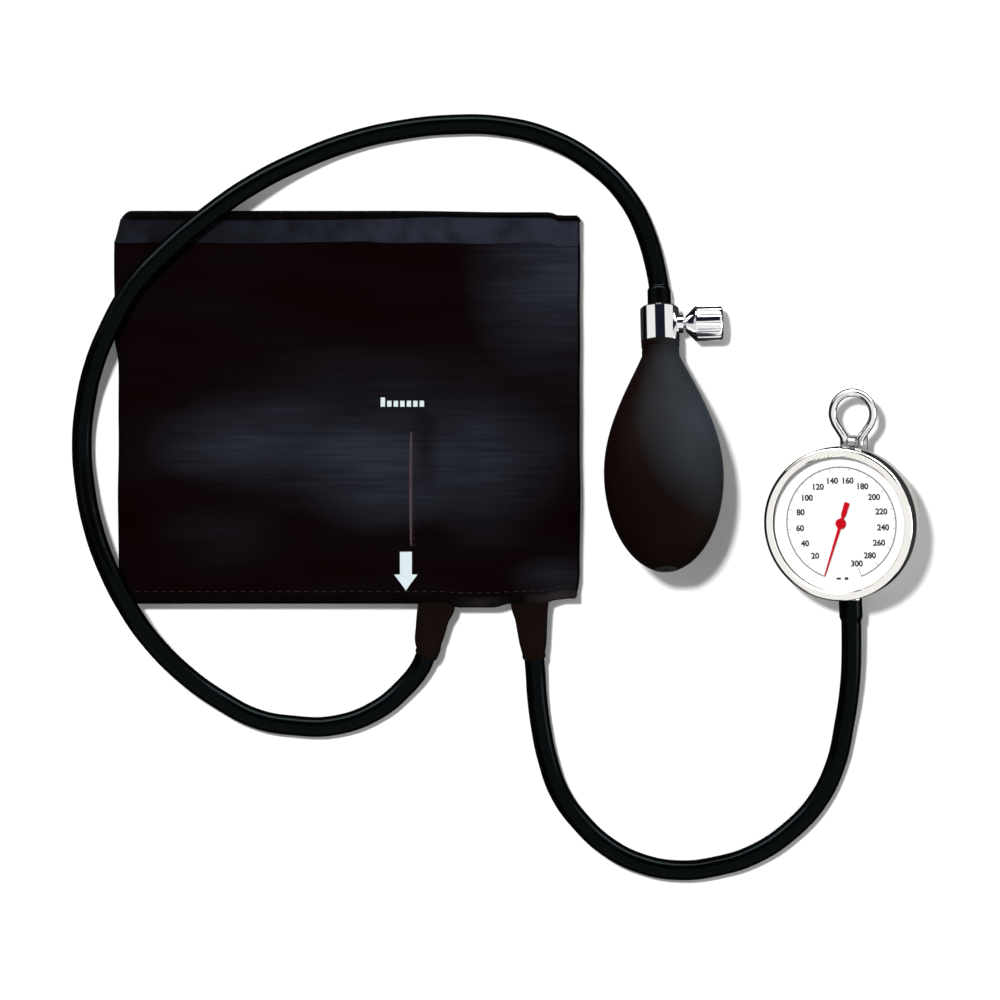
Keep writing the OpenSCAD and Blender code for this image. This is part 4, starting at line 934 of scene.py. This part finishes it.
def bulb_radius(t):
    """Radius at a distance from the mouth: neck, shoulder and round tail."""
    if t <= NECK_LEN:
        return NECK_R
    if t <= BELLY_AT:
        rise = math.sin(math.pi / 2 * (t - NECK_LEN) / (BELLY_AT - NECK_LEN)) ** 1.06
        return NECK_R + (BULB_R - NECK_R) * rise
    return BULB_R * math.sqrt(max(0, 1 - ((t - BELLY_AT) / (BULB_LEN - BELLY_AT)) ** 2))


def bulb_line(inset, last):
    """The bulb's outline from its shoulder to a distance down its tail, inside its skin by an inset."""
    shoulder = [NECK_LEN + (BELLY_AT - NECK_LEN) * i / 20 for i in range(21)]
    tail = [BELLY_AT + (last - BELLY_AT) * math.sin(math.pi / 2 * i / 22) for i in range(1, 23)]
    return [(bulb_radius(t) - inset, -t) for t in shoulder + tail]


def add_bulb():
    """A hollow moulded bulb with a rolled mouth, and a lipped hole for its intake valve."""
    mouth = [(4.75, 0), (6.5, 0), (6.85, -0.15), (7.05, -0.6), (7.05, -1.8), (6.9, -2.3), (6.72, -2.6),
             (6.85, -3.1), (6.95, -4.2)]
    outer = bulb_line(0, BULB_LEN - 0.9)
    lip = [(4.6, -86.35), (4.15, -86.2), (4.02, -85.8), (4.02, -81.9)]
    inner = list(reversed(bulb_line(BULB_WALL, BULB_LEN - 5.2)))
    outline = [*mouth, *outer, *lip, *inner, (4.75, -NECK_LEN + 0.6), mouth[0]]
    bulb = turned("bulb", outline, 112)
    put(bulb, ON_BULB)
    belongs(bulb, "root", "bulb_rubber", BULB_RUBBER, "squeeze_bulb")


add_bulb()


# ---- Gauge ----

DIAL_FACE = 15.7                # height of the dial's face above the back of the case
PRINT_LIFT = 0.06
SCALE_START = 19.5              # degrees clockwise from straight down
SCALE_END = 340.5
SCALE_TOP = 300                 # mmHg
FIGURE_STEP = 20
FIGURE_SIZE = 3.05
FIGURE_R = 15.9
END_LINE_R = (17.6, 20.9)
UNIT_Y = -20.4


def dial_place(angle, radius):
    """A place on the dial's face; the angle runs clockwise from straight down, in degrees."""
    a = math.radians(270 - angle)
    return radius * math.cos(a), radius * math.sin(a)


def add_figure(name, text, x, y):
    """One plain figure printed on the dial."""
    deselect()
    bpy.ops.object.text_add(location=(0, 0, 0))
    figure = named(name)
    figure.data.body = text
    figure.data.size = FIGURE_SIZE * MM
    figure.data.align_x = "CENTER"
    figure.data.align_y = "CENTER"
    figure.data.offset = 0.12 * MM
    figure.data.extrude = 0.01 * MM
    figure.data.resolution_u = 4
    figure = made_mesh(figure)
    put(figure, ON_GAUGE @ Matrix.Translation(Vector((x, y, DIAL_FACE + PRINT_LIFT)) * MM))
    tidy(figure, 30, 0.0000001)
    belongs(figure, "root", "scale_ink", FIGURE_INK)


def dial_bar(name, x0, y0, x1, y1, width, material):
    """A thin printed line on the dial."""
    start, end = Vector((x0, y0, 0)), Vector((x1, y1, 0))
    side = (end - start).normalized().cross(Vector((0, 0, 1))) * width / 2
    line = shaped_grid(name, 1, 4, lambda u, v: start.lerp(end, v) + side * (2 * u - 1))
    finish_with(line, "SOLIDIFY", thickness=0.02 * MM, offset=1)
    tidy(line, 30, 0.0000001)
    put(line, ON_GAUGE @ Matrix.Translation((0, 0, (DIAL_FACE + PRINT_LIFT) * MM)))
    belongs(line, "root", "scale_ink", material)


def add_dial_print():
    """The figures, the ends of the scale and two plain bars for its unit."""
    for value in range(FIGURE_STEP, SCALE_TOP + 1, FIGURE_STEP):
        angle = SCALE_START + (SCALE_END - SCALE_START) * value / SCALE_TOP
        x, y = dial_place(angle, FIGURE_R)
        add_figure(f"figure_{value}", str(value), x, y)
    for name, angle in (("scale_start", SCALE_START), ("scale_end", SCALE_END)):
        inner, outer = (dial_place(angle, radius) for radius in END_LINE_R)
        dial_bar(name, *inner, *outer, 0.28, SCALE_INK)
    dial_bar("unit_mark_left", -2.6, UNIT_Y, -0.9, UNIT_Y, 0.75, FIGURE_INK)
    dial_bar("unit_mark_right", 0.5, UNIT_Y, 1.9, UNIT_Y, 1.0, FIGURE_INK)


add_dial_print()


# ---- Hanger ----

HINGE_Y = 28.6
HINGE_Z = 1.7
LIMB_X = 2.9                    # where the wire's limbs start, either side of the middle
LOOP_Y = 39.3
LOOP_R = 7.7
HANGER_WIRE_D = 3.0


def add_hanger_loop():
    """A bent wire with two short feet that turn in the hanger plate."""
    limb = [(LIMB_X, HINGE_Y - 0.7, HINGE_Z), (LIMB_X + 0.2, HINGE_Y + 1.2, HINGE_Z),
            (LIMB_X + 1.8, HINGE_Y + 3.9, HINGE_Z)]
    ring = [(x, y, HINGE_Z) for x, y in rounded((0, LOOP_Y), LOOP_R, -30, 210, 14)]
    route = [*limb, *ring, *[(-x, y, z) for x, y, z in reversed(limb)]]
    loop = made_mesh(wire("hanger_wire", route, HANGER_WIRE_D))
    put(loop, ON_HANGER)
    tidy(loop, 50)
    belongs(loop, "hanger", "chrome", CHROME, "hanger_loop")
    hinge = ON_HANGER @ Matrix.Translation((0, HINGE_Y * MM, HINGE_Z * MM))
    for name, side in (("hanger_foot_left", -1), ("hanger_foot_right", 1)):
        foot = turned(name, [(0.4, 0.2), (0.6, 0.35), (0.6, LIMB_X)], 24)
        put(foot, hinge @ turn(90 * side, "Y"))
        belongs(foot, "hanger", "chrome", CHROME)


add_hanger_loop()


# ---- Finishes of the solids that stay ----

KEPT = {
    CHROME: ["valve_body", "release_gland", "release_knob", "inlet_stem"],
    WARM_CHROME: ["bezel"],
    CASE_CREAM: ["gauge_case"],
    STEEL: ["intake_ball", "release_stem", "dial_feet", "pinion_arbor", "hairspring", "rocking_shaft",
            "capsule_post", "plate_screws", "hanger_plate", "hanger_rivets"],
    BRASS: ["intake_cage", "outlet_seat", "sector_gear", "movement_base", "capsule_lower",
            "capsule_upper", "movement_pillars", "lower_plate", "upper_plate"],
    SEAL_RUBBER: ["outlet_disc", "release_seal"],
    NYLON: ["release_plug", "crystal_gasket"],
    BLACK_PLASTIC: ["intake_valve_body"],
    FIBRE: ["inlet_washer"],
    DIAL_WHITE: ["dial"],
    SCALE_INK: ["dial_scale"],
    POINTER_RED: ["pointer"],
    CRYSTAL: ["crystal"],
}
for material, names in KEPT.items():
    for name in names:
        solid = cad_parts[name]
        solid.data.materials.clear()
        solid.data.materials.append(material)


# ---- Table and light ----

TABLE_Z = -0.4                  # just under the lowest folds of the cloth
LAMP_TARGET = (0.06, -0.03, 0)
TENT_LIGHT = 0.34               # what the tent sheds on the pieces
TENT_MIRRORED = 0.95            # how bright it looks in bright metal
STRIP_MIRRORED = 13
DARK = (0.010, 0.013, 0.028, 1)


def add_table():
    """A pale table that shows white to the camera and keeps the shadows; bright metal mirrors
    it as a dark card, which draws its outlines."""
    deselect()
    bpy.ops.mesh.primitive_plane_add(size=8, location=(0, 0, TABLE_Z * MM))
    table = named("table")
    material = finish("table_top", (0.86, 0.86, 0.86), 0.9, Specular_IOR_Level=0.1)
    place = where(material)
    colours(material, cloud(material, place, 400, 2), (0.84, 0.84, 0.84), (0.87, 0.87, 0.87))
    ray = node(material, "ShaderNodeLightPath")
    shader = shader_of(material)
    shader.inputs["Emission Color"].default_value = (1, 1, 1, 1)
    glow = spread(material, ray.outputs["Is Camera Ray"], 0, 0.06, 0, 1)
    join(material, glow, shader.inputs["Emission Strength"])
    card = node(material, "ShaderNodeBsdfDiffuse")
    card.inputs["Color"].default_value = (0.026, 0.026, 0.030, 1)
    mix = node(material, "ShaderNodeMixShader")
    join(material, ray.outputs["Is Glossy Ray"], mix.inputs["Fac"])
    join(material, shader.outputs["BSDF"], mix.inputs[1])
    join(material, card.outputs["BSDF"], mix.inputs[2])
    join(material, mix.outputs["Shader"], material.node_tree.nodes["Material Output"].inputs["Surface"])
    table.data.materials.append(material)


def add_lamp(name, place, size, watts, mirrored):
    """A round lamp aimed at the middle of the set, in metres; mirrored tells whether gloss shows it."""
    bpy.ops.object.light_add(type="AREA", location=place)
    lamp = bpy.context.object
    lamp.name = name
    lamp.data.shape = "DISK"
    lamp.data.size = size
    lamp.data.energy = watts
    lamp.visible_glossy = mirrored
    lamp.rotation_euler = (Vector(LAMP_TARGET) - Vector(place)).to_track_quat("-Z", "Y").to_euler()


def world_step(tree, value, start, end):
    """A value that goes from 0 at start to 1 at end."""
    fade = tree.nodes.new("ShaderNodeMapRange")
    for socket, number in (("From Min", start), ("From Max", end)):
        fade.inputs[socket].default_value = number
    tree.links.new(value, fade.inputs["Value"])
    return fade.outputs["Result"]


def world_product(tree, *values):
    """The product of several values."""
    total = values[0]
    for value in values[1:]:
        maths = tree.nodes.new("ShaderNodeMath")
        maths.operation = "MULTIPLY"
        tree.links.new(total, maths.inputs[0])
        tree.links.new(value, maths.inputs[1])
        total = maths.outputs["Value"]
    return total


def add_light():
    """Two lamps in a white tent. Glossy pieces mirror an opening overhead, a dark card low on
    the left, and a bright strip low behind."""
    add_lamp("key", (-0.62, 0.65, 3.1), 0.34, 112, False)
    add_lamp("fill", (1.6, -0.1, 0.4), 0.8, 6, True)
    world = bpy.data.worlds.new("studio")
    bpy.context.scene.world = world
    world.use_nodes = True
    tree = world.node_tree
    background = tree.nodes["Background"]
    coordinates = tree.nodes.new("ShaderNodeTexCoord")
    split = tree.nodes.new("ShaderNodeSeparateXYZ")
    tree.links.new(coordinates.outputs["Generated"], split.inputs["Vector"])
    x, y, z = (split.outputs[axis] for axis in "XYZ")
    opening = world_product(tree, world_step(tree, x, -0.49, -0.45), world_step(tree, x, 0.49, 0.45),
                            world_step(tree, y, 0.22, 0.28), world_step(tree, z, 0.5, 0.55))
    card = world_product(tree, world_step(tree, x, -0.62, -0.66), world_step(tree, y, 0.24, 0.18))
    colour = None
    for dark in (opening, card):
        shade = tree.nodes.new("ShaderNodeMix")
        shade.data_type = "RGBA"
        shade.inputs["A"].default_value = (1, 1, 1, 1)
        if colour is not None:
            tree.links.new(colour, shade.inputs["A"])
        shade.inputs["B"].default_value = DARK
        tree.links.new(dark, shade.inputs["Factor"])
        colour = shade.outputs["Result"]
    tree.links.new(colour, background.inputs["Color"])
    strip = world_product(tree, world_step(tree, y, 0.55, 0.70), world_step(tree, z, 0.08, 0.16),
                          world_step(tree, z, 0.50, 0.42))
    mirrored = tree.nodes.new("ShaderNodeMapRange")
    mirrored.inputs["To Min"].default_value = TENT_MIRRORED
    mirrored.inputs["To Max"].default_value = STRIP_MIRRORED
    tree.links.new(strip, mirrored.inputs["Value"])
    ray = tree.nodes.new("ShaderNodeLightPath")
    strength = tree.nodes.new("ShaderNodeMapRange")
    strength.inputs["To Min"].default_value = TENT_LIGHT
    tree.links.new(mirrored.outputs["Result"], strength.inputs["To Max"])
    tree.links.new(ray.outputs["Is Glossy Ray"], strength.inputs["Value"])
    tree.links.new(strength.outputs["Result"], background.inputs["Strength"])


add_table()
add_light()
bpy.context.scene.view_settings.view_transform = "Standard"
